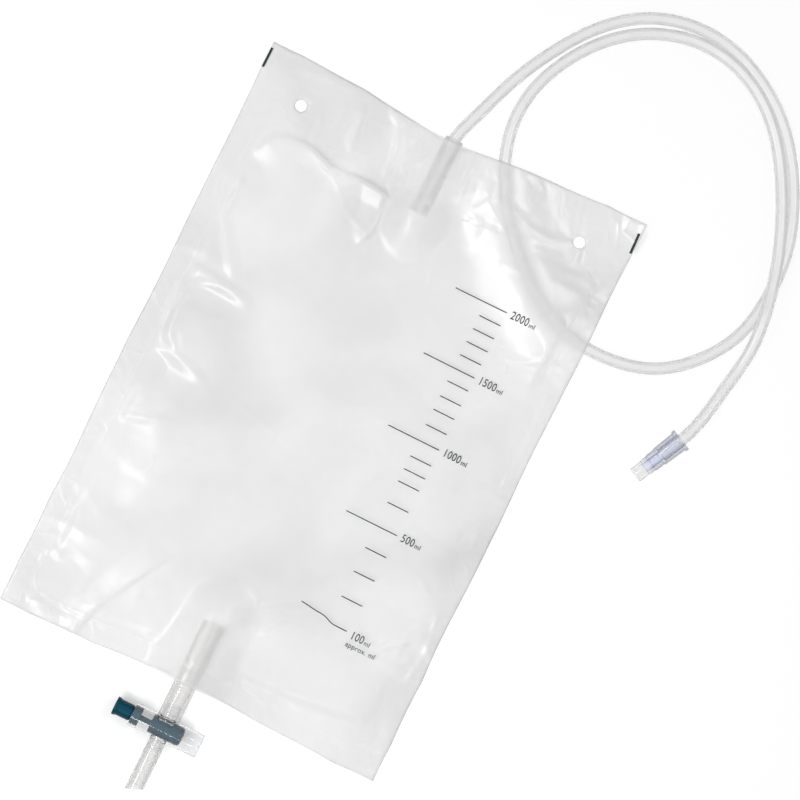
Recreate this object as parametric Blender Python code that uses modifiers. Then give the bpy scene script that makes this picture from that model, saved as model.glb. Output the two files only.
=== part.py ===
"""Urine drainage bag: two welded films, an inlet tube with its connector, and a push tap.

The bag lies flat on its back film. +X runs across it, +Y towards the inlet and +Z up.
"""
import math

import bmesh
import bpy
import numpy as np
from mathutils import Matrix, Vector

# Driving dimensions, in metres
CLEARANCE = 0.0003

BAG_WIDTH = 0.216
BAG_HEIGHT = 0.323
FILM = 0.00025
SIDE_SEAM = 0.012
FOOT_SEAM = 0.012
HEADER = 0.036
POUCH_GAP = 0.0024
POUCH_RISE = 0.020
TOP_DRAW = 0.0065
FOOT_DRAW = 0.0038
DRAW_WIDTH = 0.045
TOP_DRAW_REACH = 0.20
TOP_DRAW_FADE = 0.12
FOOT_DRAW_REACH = 0.12
FOOT_DRAW_FADE = 0.07
CURL_HEIGHT = 0.006
CURL_REACH = 0.032
LATTICE_STEP = 0.013
STEP_TOLERANCE = 0.001
SHORTEST_SHARE = 0.45
TENT_CUTS = 4
TUBE_CUTS = 3
FOLD_CUTS = 1
FOLD_REACH = 1.5

HANGER_X = 0.0805
HANGER_DROP = 0.024
HANGER_HOLE_R = 0.0032
HANGER_TOOL_REACH = 0.010

INLET_X = -0.0011
PORT_OD = 0.0096
PORT_LENGTH = 0.042
PORT_STANDS_OUT = 0.0015
SOCKET_DEPTH = 0.012
PORT_BORE_R = 0.0025
PORT_EDGE = 0.0004

VALVE_WALL = 0.0002
VALVE_LAP = 0.008
VALVE_THROAT = 0.018
VALVE_LENGTH = 0.055
VALVE_FLAT_HALF = 0.00035
VALVE_RINGS = 7
VALVE_SIDES = 20

TUBE_OD = 0.0065
TUBE_FLOOR_GAP = 0.0001
TUBE_SAMPLES = 72
TUBE_STRAIGHT = 0.004

OUTLET_X = -0.0016
DRAIN_OD = 0.0122
DRAIN_ID = 0.0086
DRAIN_INSIDE = 0.034
TAP_DROP = 0.022
BARREL_OD = 0.0124
BARREL_ID = 0.0108
BARREL_LEFT = 0.0177
BARREL_RIGHT = 0.0209
SHOULDER = 0.0005
SHOULDER_INSET = 0.0001
TOOL_OVERRUN = 0.002
DRAIN_SPIGOT_LENGTH = 0.0068
DRAIN_SPIGOT_BORE_R = 0.0033
SPOUT_OD = 0.0090
SPOUT_ID = 0.0074
SPOUT_LENGTH = 0.0298
SPOUT_SLANT = math.radians(21.0)
SPOUT_SPIGOT_LENGTH = 0.0050
SPOUT_SPIGOT_BORE_R = 0.0027

KNOB_LENGTH = 0.0102
KNOB_RIM_R = 0.00495
KNOB_WAIST_R = 0.0044
KNOB_NECK_R = 0.0040
KNOB_RIM = 0.0010
PLUNGER_EDGE = 0.0003
DISC_LENGTH = 0.0042
STEM_LENGTH = 0.0061
STEM_R = 0.0015
PISTON_NOSE_R = 0.0020
# The nose's middle corner, as shares of its radius inwards and along
PISTON_NOSE_TURN = (0.35, 0.25)

CONNECTOR_LENGTH = 0.0303
CONNECTOR_BORE_R = 0.0026
CONNECTOR_SOCKET = 0.013
# Each stage: where it starts along the length, and its radius there and at its end
CONNECTOR_STAGES = (
    (0.0000, 0.00635, 0.00635),
    (0.0020, 0.00555, 0.00520),
    (0.0146, 0.00482, 0.00480),
    (0.0197, 0.00450, 0.00446),
    (0.0236, 0.00418, 0.00400),
)

# Places that follow from those
OVERALL = BAG_HEIGHT + TAP_DROP + BARREL_OD / 2 + SPOUT_LENGTH
TOP_Y = OVERALL / 2
FOOT_Y = TOP_Y - BAG_HEIGHT
TAP_Y = FOOT_Y - TAP_DROP
PORT_MOUTH_Y = TOP_Y - TOP_DRAW + PORT_STANDS_OUT
PORT_END_Y = PORT_MOUTH_Y - PORT_LENGTH
PORT_Z = FILM + 2 * CLEARANCE + VALVE_WALL + PORT_OD / 2
DRAIN_END_Y = FOOT_Y + FOOT_DRAW + DRAIN_INSIDE
TAP_Z = FILM + CLEARANCE + DRAIN_OD / 2
TUBE_Z = TUBE_FLOOR_GAP + TUBE_OD / 2
SOCKET_R = TUBE_OD / 2 + CLEARANCE
PISTON_R = BARREL_ID / 2 - CLEARANCE
CROSSING_Z = TUBE_Z + TUBE_OD + 3 * CLEARANCE
LEANING_Z = TUBE_Z + 0.0042

# The films stand clear of a round piece by this much more, for the chords of their facets
FACET_ALLOWANCE = 0.0003
PORT_TENT_R = PORT_OD / 2 + VALVE_WALL + 2 * CLEARANCE + FACET_ALLOWANCE
PORT_TENT_FOOT = 0.0135
DRAIN_TENT_R = DRAIN_OD / 2 + CLEARANCE + FACET_ALLOWANCE
DRAIN_TENT_FOOT = 0.0145
TENT_FADE = 0.022
TENT_COVER = 0.002
TENT_SAMPLES = 30
TUBE_TENT_R = TUBE_OD / 2 + TUBE_FLOOR_GAP + CLEARANCE + 2 * FACET_ALLOWANCE
TUBE_TENT_FOOT = 0.0125

# The inlet tube's route: x, y below the bag's top edge line, z. It leaves the port, makes an
# outer turn, passes under the bag, makes an inner turn that comes to lean on the outer one, and
# crosses over it to the connector.
PORT_RUN = (
    (INLET_X, PORT_MOUTH_Y - SOCKET_DEPTH + CLEARANCE - TOP_Y, PORT_Z),
    (INLET_X, PORT_MOUTH_Y - TOP_Y, PORT_Z),
)
OUTER_TURN = (
    (0.0034, 0.0100, 0.0054),
    (0.0118, 0.0335, TUBE_Z),
    (0.0245, 0.0583, TUBE_Z),
    (0.0396, 0.0791, TUBE_Z),
    (0.0581, 0.0943, TUBE_Z),
    (0.0813, 0.1022, TUBE_Z),
    (0.1052, 0.1013, TUBE_Z),
    (0.1274, 0.0928, TUBE_Z),
    (0.1465, 0.0789, TUBE_Z),
    (0.1617, 0.0605, TUBE_Z),
    (0.1730, 0.0391, TUBE_Z),
    (0.1797, 0.0160, TUBE_Z),
    (0.1805, -0.0070, TUBE_Z),
    (0.1762, -0.0300, TUBE_Z),
    (0.1638, -0.0501, TUBE_Z),
    (0.1445, -0.0655, TUBE_Z),
)
UNDER_BAG = (
    (0.1210, -0.0715, TUBE_Z),
    (0.0970, -0.0700, TUBE_Z),
    (0.0750, -0.0602, TUBE_Z),
    (0.0558, -0.0441, TUBE_Z),
    (0.0390, -0.0250, TUBE_Z),
    (0.0274, -0.0035, TUBE_Z),
    (0.0224, 0.0195, TUBE_Z),
)
INNER_TURN = (
    (0.0256, 0.0415, TUBE_Z),
    (0.0360, 0.0623, TUBE_Z),
    (0.0521, 0.0804, TUBE_Z),
    (0.0736, 0.0925, TUBE_Z),
    (0.0980, 0.0959, TUBE_Z + 0.0022),
    (0.1218, 0.0895, LEANING_Z),
    (0.1416, 0.0753, LEANING_Z),
    (0.1567, 0.0558, LEANING_Z),
    (0.1680, 0.0342, LEANING_Z + 0.0010),
    (0.1765, 0.0117, CROSSING_Z - 0.0006),
    (0.1819, -0.0111, CROSSING_Z),
    (0.1845, -0.0354, TUBE_Z + 0.0038),
    (0.1817, -0.0580, TUBE_Z + 0.0002),
)
CONNECTOR_RIM = (0.1728, -0.0925)
CONNECTOR_HEADING = (-0.435, -0.900)

# Main folds of the front film: both ends as shares of half the width and of the height,
# then the fold's half width and its height
FOLDS = (
    ((-0.61, 0.869), (-0.19, 0.796), 0.0060, 0.0024),
    ((-0.19, 0.796), (0.23, 0.869), 0.0055, 0.0018),
    ((-0.14, 0.985), (-0.17, 0.850), 0.0050, 0.0030),
    ((-0.63, 0.010), (-0.50, 0.150), 0.0050, 0.0022),
    ((0.12, 0.108), (0.86, 0.075), 0.0070, 0.0016),
    ((-0.89, 0.615), (-0.56, 0.600), 0.0055, 0.0013),
    ((-0.89, 0.467), (-0.60, 0.480), 0.0055, 0.0012),
)
# Soft swells of the front film: waves across, waves along, phase and height
SWELLS = (
    (1.0, 1.6, 0.4, 0.0007),
    (-1.7, 2.3, 2.1, 0.0005),
    (2.6, -0.9, 4.0, 0.0004),
)


def empty_scene():
    """Remove every object that the scene starts with."""
    for thing in list(bpy.data.objects):
        bpy.data.objects.remove(thing, do_unlink=True)


def new_collection(name):
    """Make a collection under the scene's own one."""
    collection = bpy.data.collections.new(name)
    bpy.context.scene.collection.children.link(collection)
    return collection


def plastic(name, colour, roughness, alpha=1.0):
    """A Principled material with a plain colour."""
    material = bpy.data.materials.new(name)
    material.use_nodes = True
    shader = material.node_tree.nodes["Principled BSDF"]
    shader.inputs["Base Color"].default_value = (*colour, 1.0)
    shader.inputs["Roughness"].default_value = roughness
    shader.inputs["Metallic"].default_value = 0.0
    shader.inputs["Alpha"].default_value = alpha
    return material


def place(mesh, name, collection, material=None, matrix=None):
    """Link a mesh as an object, with its material and its place."""
    thing = bpy.data.objects.new(name, mesh)
    collection.objects.link(thing)
    if material is not None:
        mesh.materials.append(material)
    if matrix is not None:
        thing.matrix_world = matrix
    return thing


def hide_tool(thing):
    """Show a cutter or a guide as wire, and keep it out of the model."""
    thing.display_type = "WIRE"
    thing.hide_render = True
    return thing


def aim(direction, origin):
    """A matrix that puts local +Z along the direction, at the origin."""
    turn = Vector(direction).to_track_quat("Z", "Y").to_matrix().to_4x4()
    return Matrix.Translation(origin) @ turn


def rod(name, radius, start, end, collection, segments=32):
    """A solid cylinder between two points."""
    body = bmesh.new()
    length = (Vector(end) - Vector(start)).length
    bmesh.ops.create_cone(body, cap_ends=True, segments=segments, radius1=radius, radius2=radius,
                          depth=length, matrix=Matrix.Translation((0, 0, length / 2)))
    mesh = bpy.data.meshes.new(name)
    body.to_mesh(mesh)
    body.free()
    return place(mesh, name, collection, matrix=aim(Vector(end) - Vector(start), start))


def turned(name, outline, collection, material, matrix, steps=32):
    """A turned piece: a closed outline of (radius, height) pairs, swept about local Z.

    The outline runs down its outer side, from the top to the bottom.
    """
    profile = bmesh.new()
    corners = [profile.verts.new((radius, 0.0, height)) for radius, height in outline]
    closed = all(radius > 0 for radius, _ in outline)
    for here, after in zip(corners, corners[1:]):
        profile.edges.new((here, after))
    if closed:
        profile.edges.new((corners[-1], corners[0]))
    mesh = bpy.data.meshes.new(name)
    profile.to_mesh(mesh)
    profile.free()
    piece = place(mesh, name, collection, material, matrix)
    screw = piece.modifiers.new("turn", "SCREW")
    screw.axis = "Z"
    screw.angle = math.tau
    screw.steps = steps
    screw.render_steps = steps
    screw.use_merge_vertices = True
    screw.merge_threshold = 0.00001
    return piece


def boolean(piece, tool, operation):
    """Join a tool to a piece, or cut the piece with it."""
    change = piece.modifiers.new(operation.lower(), "BOOLEAN")
    change.object = tool
    change.operation = operation
    change.solver = "EXACT"


def smooth_route(points, samples):
    """A natural cubic spline through the points, by chord length, at even steps."""
    knots = np.array(points)
    chord = np.linalg.norm(np.diff(knots, axis=0), axis=1)
    along = np.concatenate(([0.0], np.cumsum(chord)))
    count = len(knots)
    system = np.eye(count)
    change = np.zeros((count, knots.shape[1]))
    for i in range(1, count - 1):
        system[i, i - 1:i + 2] = chord[i - 1] / 6, (chord[i - 1] + chord[i]) / 3, chord[i] / 6
        change[i] = (knots[i + 1] - knots[i]) / chord[i] - (knots[i] - knots[i - 1]) / chord[i - 1]
    bend = np.linalg.solve(system, change)
    s = np.linspace(0.0, along[-1], samples)
    k = np.clip(np.searchsorted(along, s, side="right") - 1, 0, count - 2)
    step = chord[k][:, None]
    before = (along[k + 1] - s)[:, None]
    after = (s - along[k])[:, None]
    cubic = (bend[k] * before ** 3 + bend[k + 1] * after ** 3) / (6 * step)
    left = (knots[k] / step - bend[k] * step / 6) * before
    right = (knots[k + 1] / step - bend[k + 1] * step / 6) * after
    return cubic + left + right


def ease(value):
    """A smooth step: 0 below 0, 1 above 1."""
    held = np.clip(value, 0.0, 1.0)
    return held * held * (3.0 - 2.0 * held)


def draped(offset, radius, foot):
    """Height of a film laid over a round piece that lies on the floor.

    The film wraps the round's top and leaves it on a straight tangent to its foot.
    """
    slope = 2.0 * math.atan(radius / foot)
    touch = radius * math.sin(slope)
    wrap = radius + np.sqrt(np.maximum(radius ** 2 - offset ** 2, 0.0))
    fall = np.maximum(foot - offset, 0.0) * math.tan(slope)
    return np.where(offset < touch, wrap, fall)


def distance_to_line(x, y, corners):
    """Distance in plan from each point to an open line of straight runs."""
    nearest = np.full(np.shape(x), np.inf)
    for (ax, ay), (bx, by) in zip(corners, corners[1:]):
        run = np.array([bx - ax, by - ay])
        share = np.clip(((x - ax) * run[0] + (y - ay) * run[1]) / run.dot(run), 0.0, 1.0)
        nearest = np.minimum(nearest, np.hypot(x - ax - share * run[0], y - ay - share * run[1]))
    return nearest


def drawn_in(x, y):
    """The films are drawn towards the bag's middle where they stand up over the two tubes."""
    by_inlet = np.exp(-((x - INLET_X) / DRAW_WIDTH) ** 2)
    by_outlet = np.exp(-((x - OUTLET_X) / DRAW_WIDTH) ** 2)
    upper = ease((y - TOP_Y + TOP_DRAW_REACH) / TOP_DRAW_FADE)
    lower = ease((FOOT_Y + FOOT_DRAW_REACH - y) / FOOT_DRAW_FADE)
    return y - TOP_DRAW * by_inlet * upper + FOOT_DRAW * by_outlet * lower


def under_bag_line():
    """The part of the tube's route that the bag lies on, in plan."""
    route = [(x, y + TOP_Y, z) for x, y, z in UNDER_BAG]
    return smooth_route(route, TENT_SAMPLES)[:, :2]


def back_height(x, y, tube_line):
    """Top of the back film: flat, lifted over the tube below it, and curled at one corner."""
    over_tube = draped(distance_to_line(x, y, tube_line), TUBE_TENT_R, TUBE_TENT_FOOT)
    from_corner = ((BAG_WIDTH / 2 - x) + (TOP_Y - y)) / math.sqrt(2.0)
    curl = CURL_HEIGHT * np.maximum(0.0, 1.0 - from_corner / CURL_REACH) ** 2
    return FILM + over_tube + curl


def inside_seams(x, y):
    """0 on the welded seams and the header, rising to 1 over the pouch."""
    sides = ease((BAG_WIDTH / 2 - SIDE_SEAM - np.abs(x)) / POUCH_RISE)
    foot = ease((y - FOOT_Y - FOOT_SEAM) / POUCH_RISE)
    head = ease((TOP_Y - HEADER - y) / POUCH_RISE)
    return sides * foot * head


def fold_lines():
    """Each main fold's line in plan, with its half width and its height."""
    half = BAG_WIDTH / 2
    return [([(u * half, FOOT_Y + v * BAG_HEIGHT) for u, v in (start, end)], wide, high)
            for start, end, wide, high in FOLDS]


def gap_height(x, y):
    """How far the front film stands over the back one: its weld gap, then the higher of the
    swelling, folded pouch and the tents over the two tubes."""
    pouch = inside_seams(x, y)
    across = math.tau * x / BAG_WIDTH
    along = math.tau * (y - FOOT_Y) / BAG_HEIGHT
    swell = sum(high * np.sin(i * across + j * along + phase) for i, j, phase, high in SWELLS)
    height = pouch * (POUCH_GAP + swell)
    for line, wide, high in fold_lines():
        height = height + high * np.exp(-(distance_to_line(x, y, line) / wide) ** 2)
    port_fade = ease((y - (PORT_END_Y - TENT_COVER - TENT_FADE)) / TENT_FADE)
    drain_fade = ease(((DRAIN_END_Y + TENT_COVER + TENT_FADE) - y) / TENT_FADE)
    port_tent = port_fade * draped(np.abs(x - INLET_X), PORT_TENT_R, PORT_TENT_FOOT)
    drain_tent = drain_fade * draped(np.abs(x - OUTLET_X), DRAIN_TENT_R, DRAIN_TENT_FOOT)
    return CLEARANCE + np.maximum(height, np.maximum(port_tent, drain_tent))


def spaced(stops, step):
    """Lines through every stop, with even ones between them at most a step apart."""
    lines = [stops[0]]
    for low, high in zip(stops, stops[1:]):
        count = max(1, math.ceil((high - low) / step - STEP_TOLERANCE))
        lines.extend(np.linspace(low, high, count + 1)[1:])
    return lines


def refine(lattice, near, cuts, across_only=False):
    """Divide the lattice's long edges where the test says so."""
    chosen = []
    for edge in lattice.edges:
        a, b = (vert.co for vert in edge.verts)
        long_enough = edge.calc_length() > LATTICE_STEP * SHORTEST_SHARE
        level = abs(a.y - b.y) < edge.calc_length() / 2
        middle = (a + b) / 2
        if long_enough and near(middle.x, middle.y) and (level or not across_only):
            chosen.append(edge)
    bmesh.ops.subdivide_edges(lattice, edges=chosen, cuts=cuts, use_grid_fill=True)


def film_lattice(tube_line):
    """The films' plan: a lattice on the seams, finer over the tubes and along the folds."""
    half = BAG_WIDTH / 2
    columns = spaced([-half, -half + SIDE_SEAM, half - SIDE_SEAM, half], LATTICE_STEP)
    rows = spaced([FOOT_Y, FOOT_Y + FOOT_SEAM, DRAIN_END_Y - FOOT_DRAW + TENT_COVER,
                   DRAIN_END_Y - FOOT_DRAW + TENT_COVER + TENT_FADE,
                   PORT_END_Y + TOP_DRAW - TENT_COVER - TENT_FADE,
                   PORT_END_Y + TOP_DRAW - TENT_COVER, TOP_Y - HEADER, TOP_Y], LATTICE_STEP)
    lattice = bmesh.new()
    bmesh.ops.create_grid(lattice, x_segments=len(columns) - 1, y_segments=len(rows) - 1, size=0.5)
    for vert in lattice.verts:
        vert.co.x = columns[round((vert.co.x + 0.5) * (len(columns) - 1))]
        vert.co.y = rows[round((vert.co.y + 0.5) * (len(rows) - 1))]

    def by_port(x, y):
        return abs(x - INLET_X) < PORT_TENT_FOOT and y > PORT_END_Y - TENT_FADE

    def by_drain(x, y):
        return abs(x - OUTLET_X) < DRAIN_TENT_FOOT and y < DRAIN_END_Y + TENT_FADE

    def by_tube(x, y):
        return distance_to_line(x, y, tube_line) < TUBE_TENT_FOOT

    def by_fold(x, y):
        return any(distance_to_line(x, y, line) < FOLD_REACH * wide
                   for line, wide, _ in fold_lines())

    refine(lattice, lambda x, y: by_port(x, y) or by_drain(x, y), TENT_CUTS, across_only=True)
    refine(lattice, by_tube, TUBE_CUTS)
    refine(lattice, by_fold, FOLD_CUTS)
    bmesh.ops.triangulate(lattice, faces=lattice.faces[:], quad_method="FIXED")
    return lattice


def film(name, collection, material, tube_line, front):
    """One film of the bag, as an open surface with its wall given by Solidify."""
    lattice = film_lattice(tube_line)
    flat = np.array([vert.co[:2] for vert in lattice.verts])
    x = flat[:, 0]
    y = drawn_in(x, flat[:, 1])
    z = back_height(x, y, tube_line)
    if front:
        z = z + gap_height(x, y)
    for vert, spot in zip(lattice.verts, np.stack([x, y, z], axis=1)):
        vert.co = spot
    mesh = bpy.data.meshes.new(name)
    lattice.to_mesh(mesh)
    lattice.free()
    sheet = place(mesh, name, collection, material)
    wall = sheet.modifiers.new("wall", "SOLIDIFY")
    wall.thickness = FILM
    wall.offset = 1.0 if front else -1.0
    return sheet


def make_films(parts, tools, materials):
    """The two films, with the hanger holes through both."""
    tube_line = under_bag_line()
    holes = []
    for side, name in ((-1, "hanger_hole_left"), (1, "hanger_hole_right")):
        low = (side * HANGER_X, TOP_Y - HANGER_DROP, -HANGER_TOOL_REACH)
        high = (side * HANGER_X, TOP_Y - HANGER_DROP, HANGER_TOOL_REACH)
        holes.append(hide_tool(rod(name, HANGER_HOLE_R, low, high, tools, segments=20)))
    for name, front in (("back_sheet", False), ("front_sheet", True)):
        sheet = film(name, parts, materials[name], tube_line, front)
        for hole in holes:
            boolean(sheet, hole, "DIFFERENCE")


def make_inlet_port(parts, materials):
    """The sleeve in the header: a deep socket for the tube, then a narrower bore."""
    outer = PORT_OD / 2
    outline = [
        (outer - PORT_EDGE, PORT_LENGTH),
        (outer, PORT_LENGTH - PORT_EDGE),
        (outer, 0.0),
        (PORT_BORE_R, 0.0),
        (PORT_BORE_R, PORT_LENGTH - SOCKET_DEPTH),
        (SOCKET_R, PORT_LENGTH - SOCKET_DEPTH),
        (SOCKET_R, PORT_LENGTH),
    ]
    turned("inlet_port", outline, parts, materials["soft"],
           aim((0, 1, 0), (INLET_X, PORT_END_Y, PORT_Z)), steps=28)


def make_return_valve(parts, materials):
    """The lay-flat sleeve: round on the port's end, flattening to a slit at constant girth."""
    round_r = PORT_OD / 2 + CLEARANCE
    girth = math.tau * round_r
    flat_z = FILM + CLEARANCE + VALVE_WALL + VALVE_FLAT_HALF
    throat = np.linspace(PORT_END_Y, PORT_END_Y - VALVE_THROAT, VALVE_RINGS)
    stations = [PORT_END_Y + VALVE_LAP, *throat, PORT_END_Y - VALVE_LENGTH]
    angles = (np.arange(VALVE_SIDES) + 0.5) * math.tau / VALVE_SIDES
    sleeve = bmesh.new()
    rings = []
    for y in stations:
        flat = float(ease((PORT_END_Y - y) / VALVE_THROAT))
        half_high = round_r + (VALVE_FLAT_HALF - round_r) * flat
        straight = (girth - math.tau * half_high) / 4
        middle_z = PORT_Z + (flat_z - PORT_Z) * flat
        x = INLET_X + straight * np.sign(np.cos(angles)) + half_high * np.cos(angles)
        z = middle_z + half_high * np.sin(angles)
        rings.append([sleeve.verts.new((px, y, pz)) for px, pz in zip(x, z)])
    for lower, upper in zip(rings, rings[1:]):
        for k in range(VALVE_SIDES):
            after = (k + 1) % VALVE_SIDES
            sleeve.faces.new((lower[k], upper[k], upper[after], lower[after]))
    bmesh.ops.recalc_face_normals(sleeve, faces=sleeve.faces[:])
    mesh = bpy.data.meshes.new("return_valve")
    sleeve.to_mesh(mesh)
    sleeve.free()
    valve = place(mesh, "return_valve", parts, materials["valve"])
    wall = valve.modifiers.new("wall", "SOLIDIFY")
    wall.thickness = VALVE_WALL
    wall.offset = 1.0
    return valve


def make_connector(parts, materials):
    """The stepped connector, lying on its rim and its tip, and where the tube ends in it."""
    rim_r = CONNECTOR_STAGES[0][1]
    tip_r = CONNECTOR_STAGES[-1][2]
    rise = (tip_r - rim_r) / CONNECTOR_LENGTH
    heading = Vector((*CONNECTOR_HEADING, rise)).normalized()
    rim = Vector((CONNECTOR_RIM[0], CONNECTOR_RIM[1] + TOP_Y, rim_r + 2 * TUBE_FLOOR_GAP))
    outline = []
    ends = [stage[0] for stage in CONNECTOR_STAGES[1:]] + [CONNECTOR_LENGTH]
    for (start, first_r, last_r), end in zip(CONNECTOR_STAGES, ends):
        outline.extend([(first_r, -start), (last_r, -end)])
    outline.extend([
        (CONNECTOR_BORE_R, -CONNECTOR_LENGTH),
        (CONNECTOR_BORE_R, -CONNECTOR_SOCKET),
        (SOCKET_R, -CONNECTOR_SOCKET),
        (SOCKET_R, 0.0),
    ])
    turned("connector", outline, parts, materials["connector"], aim(-heading, rim), steps=28)
    return rim, heading


def make_inlet_tube(parts, materials, rim, heading):
    """The inlet tube, from the port's socket to the connector's."""
    seat = rim + heading * (CONNECTOR_SOCKET - CLEARANCE)
    mouth = rim - heading * TUBE_STRAIGHT
    flat = PORT_RUN + OUTER_TURN + UNDER_BAG + INNER_TURN
    route = [(x, y + TOP_Y, z) for x, y, z in flat] + [tuple(mouth), tuple(seat)]
    points = smooth_route(route, TUBE_SAMPLES)
    points[:, 2] = np.maximum(points[:, 2], TUBE_Z)
    curve = bpy.data.curves.new("inlet_tube", "CURVE")
    curve.dimensions = "3D"
    curve.bevel_depth = TUBE_OD / 2
    curve.bevel_resolution = 3
    curve.use_fill_caps = True
    spline = curve.splines.new("POLY")
    spline.points.add(len(points) - 1)
    for point, spot in zip(spline.points, points):
        point.co = (*spot, 1.0)
    curve.materials.append(materials["tube"])
    tube = bpy.data.objects.new("inlet_tube", curve)
    parts.objects.link(tube)
    return tube


def make_drain_tube(parts, materials):
    """The wide tube from the pouch to the tap's shoulder."""
    low = TAP_Y + BARREL_OD / 2 + SHOULDER + CLEARANCE
    length = DRAIN_END_Y - low
    outline = [
        (DRAIN_OD / 2, length),
        (DRAIN_OD / 2, 0.0),
        (DRAIN_ID / 2, 0.0),
        (DRAIN_ID / 2, length),
    ]
    turned("drain_tube", outline, parts, materials["soft"], aim((0, 1, 0), (OUTLET_X, low, TAP_Z)))


def make_tap_body(parts, tools, materials):
    """The cross moulding: a barrel with a shoulder and a spigot above and below, all bored."""
    centre = Vector((OUTLET_X, TAP_Y, TAP_Z))
    left = centre - Vector((BARREL_LEFT, 0, 0))
    right = centre + Vector((BARREL_RIGHT, 0, 0))
    body = rod("tap_body", BARREL_OD / 2, left, right, parts, segments=36)
    body.data.materials.append(materials["clear"])
    reach = BARREL_OD / 2 + SHOULDER
    past = Vector((TOOL_OVERRUN, 0, 0))
    joined = (
        ("drain_shoulder", DRAIN_OD / 2 - SHOULDER_INSET, reach),
        ("drain_spigot", DRAIN_ID / 2 - CLEARANCE, reach + DRAIN_SPIGOT_LENGTH),
        ("spout_shoulder", SPOUT_OD / 2, -reach),
        ("spout_spigot", SPOUT_ID / 2 - CLEARANCE, -reach - SPOUT_SPIGOT_LENGTH),
    )
    for name, radius, length in joined:
        tool = rod(name, radius, centre, centre + Vector((0, length, 0)), tools, segments=28)
        boolean(body, hide_tool(tool), "UNION")
    bored = (
        ("barrel_bore", BARREL_ID / 2, left - past, right + past),
        ("drain_bore", DRAIN_SPIGOT_BORE_R, centre,
         centre + Vector((0, reach + DRAIN_SPIGOT_LENGTH + TOOL_OVERRUN, 0))),
        ("spout_bore", SPOUT_SPIGOT_BORE_R, centre,
         centre - Vector((0, reach + SPOUT_SPIGOT_LENGTH + TOOL_OVERRUN, 0))),
    )
    for name, radius, start, end in bored:
        tool = rod(name, radius, start, end, tools, segments=28)
        boolean(body, hide_tool(tool), "DIFFERENCE")
    return body


def make_tap_plunger(parts, materials):
    """The plunger: knob, neck, sealing disc, thin stem and the piston that shuts the flow."""
    disc_start = CLEARANCE
    disc_end = disc_start + DISC_LENGTH
    piston_start = disc_end + STEM_LENGTH
    piston_end = BARREL_LEFT + BARREL_RIGHT - KNOB_LENGTH
    edge = PLUNGER_EDGE
    nose_in, nose_along = PISTON_NOSE_TURN
    outline = [
        (0.0, piston_end),
        (PISTON_R - PISTON_NOSE_R, piston_end),
        (PISTON_R - nose_in * PISTON_NOSE_R, piston_end - nose_along * PISTON_NOSE_R),
        (PISTON_R, piston_end - PISTON_NOSE_R),
        (PISTON_R, piston_start + edge),
        (PISTON_R - edge, piston_start),
        (STEM_R, piston_start),
        (STEM_R, disc_end),
        (PISTON_R - edge, disc_end),
        (PISTON_R, disc_end - edge),
        (PISTON_R, disc_start + edge),
        (PISTON_R - edge, disc_start),
        (KNOB_NECK_R, disc_start),
        (KNOB_NECK_R, -2 * edge),
        (KNOB_WAIST_R, -3 * edge),
        (KNOB_WAIST_R, -KNOB_LENGTH + 2 * KNOB_RIM),
        (KNOB_RIM_R, -KNOB_LENGTH + KNOB_RIM),
        (KNOB_RIM_R, -KNOB_LENGTH + edge),
        (KNOB_RIM_R - edge, -KNOB_LENGTH),
        (KNOB_WAIST_R - KNOB_RIM, -KNOB_LENGTH),
        (KNOB_WAIST_R - 3 * KNOB_RIM / 2, -KNOB_LENGTH + KNOB_RIM / 2),
        (0.0, -KNOB_LENGTH + KNOB_RIM / 2),
    ]
    mouth = (OUTLET_X - BARREL_LEFT, TAP_Y, TAP_Z)
    turned("tap_plunger", outline, parts, materials["teal"], aim((1, 0, 0), mouth))


def make_spout_tube(parts, tools, materials):
    """The short tube under the tap, its far end cut on a slant."""
    top = TAP_Y - BARREL_OD / 2 - SHOULDER - CLEARANCE
    tip = TAP_Y - BARREL_OD / 2 - SPOUT_LENGTH
    length = top - tip
    outline = [
        (SPOUT_OD / 2, 0.0),
        (SPOUT_OD / 2, -length),
        (SPOUT_ID / 2, -length),
        (SPOUT_ID / 2, 0.0),
    ]
    spout = turned("spout_tube", outline, parts, materials["soft"],
                   aim((0, 1, 0), (OUTLET_X, top, TAP_Z)))
    block = bmesh.new()
    size = 4 * SPOUT_OD
    bmesh.ops.create_cube(block, size=size, matrix=Matrix.Translation((0, -size / 2, 0)))
    mesh = bpy.data.meshes.new("spout_slant")
    block.to_mesh(mesh)
    block.free()
    corner = Matrix.Translation((OUTLET_X - SPOUT_OD / 2, tip, TAP_Z))
    cutter = place(mesh, "spout_slant", tools, matrix=corner @ Matrix.Rotation(SPOUT_SLANT, 4, "Z"))
    boolean(spout, hide_tool(cutter), "DIFFERENCE")
    return spout


def make_materials():
    """The plastics of the bag, by the names that the pieces use."""
    return {
        "front_sheet": plastic("clear_film", (0.80, 0.80, 0.80), 0.18, alpha=0.45),
        "back_sheet": plastic("milky_film", (0.82, 0.82, 0.82), 0.30, alpha=0.75),
        "valve": plastic("valve_film", (0.85, 0.85, 0.86), 0.25, alpha=0.35),
        "soft": plastic("soft_clear_plastic", (0.80, 0.80, 0.79), 0.20, alpha=0.55),
        "tube": plastic("clear_tube_plastic", (0.82, 0.82, 0.82), 0.12, alpha=0.50),
        "clear": plastic("clear_hard_plastic", (0.85, 0.86, 0.87), 0.08, alpha=0.40),
        "teal": plastic("teal_plastic", (0.004, 0.060, 0.100), 0.35),
        "connector": plastic("lilac_clear_plastic", (0.62, 0.66, 0.88), 0.10, alpha=0.55),
    }


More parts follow.
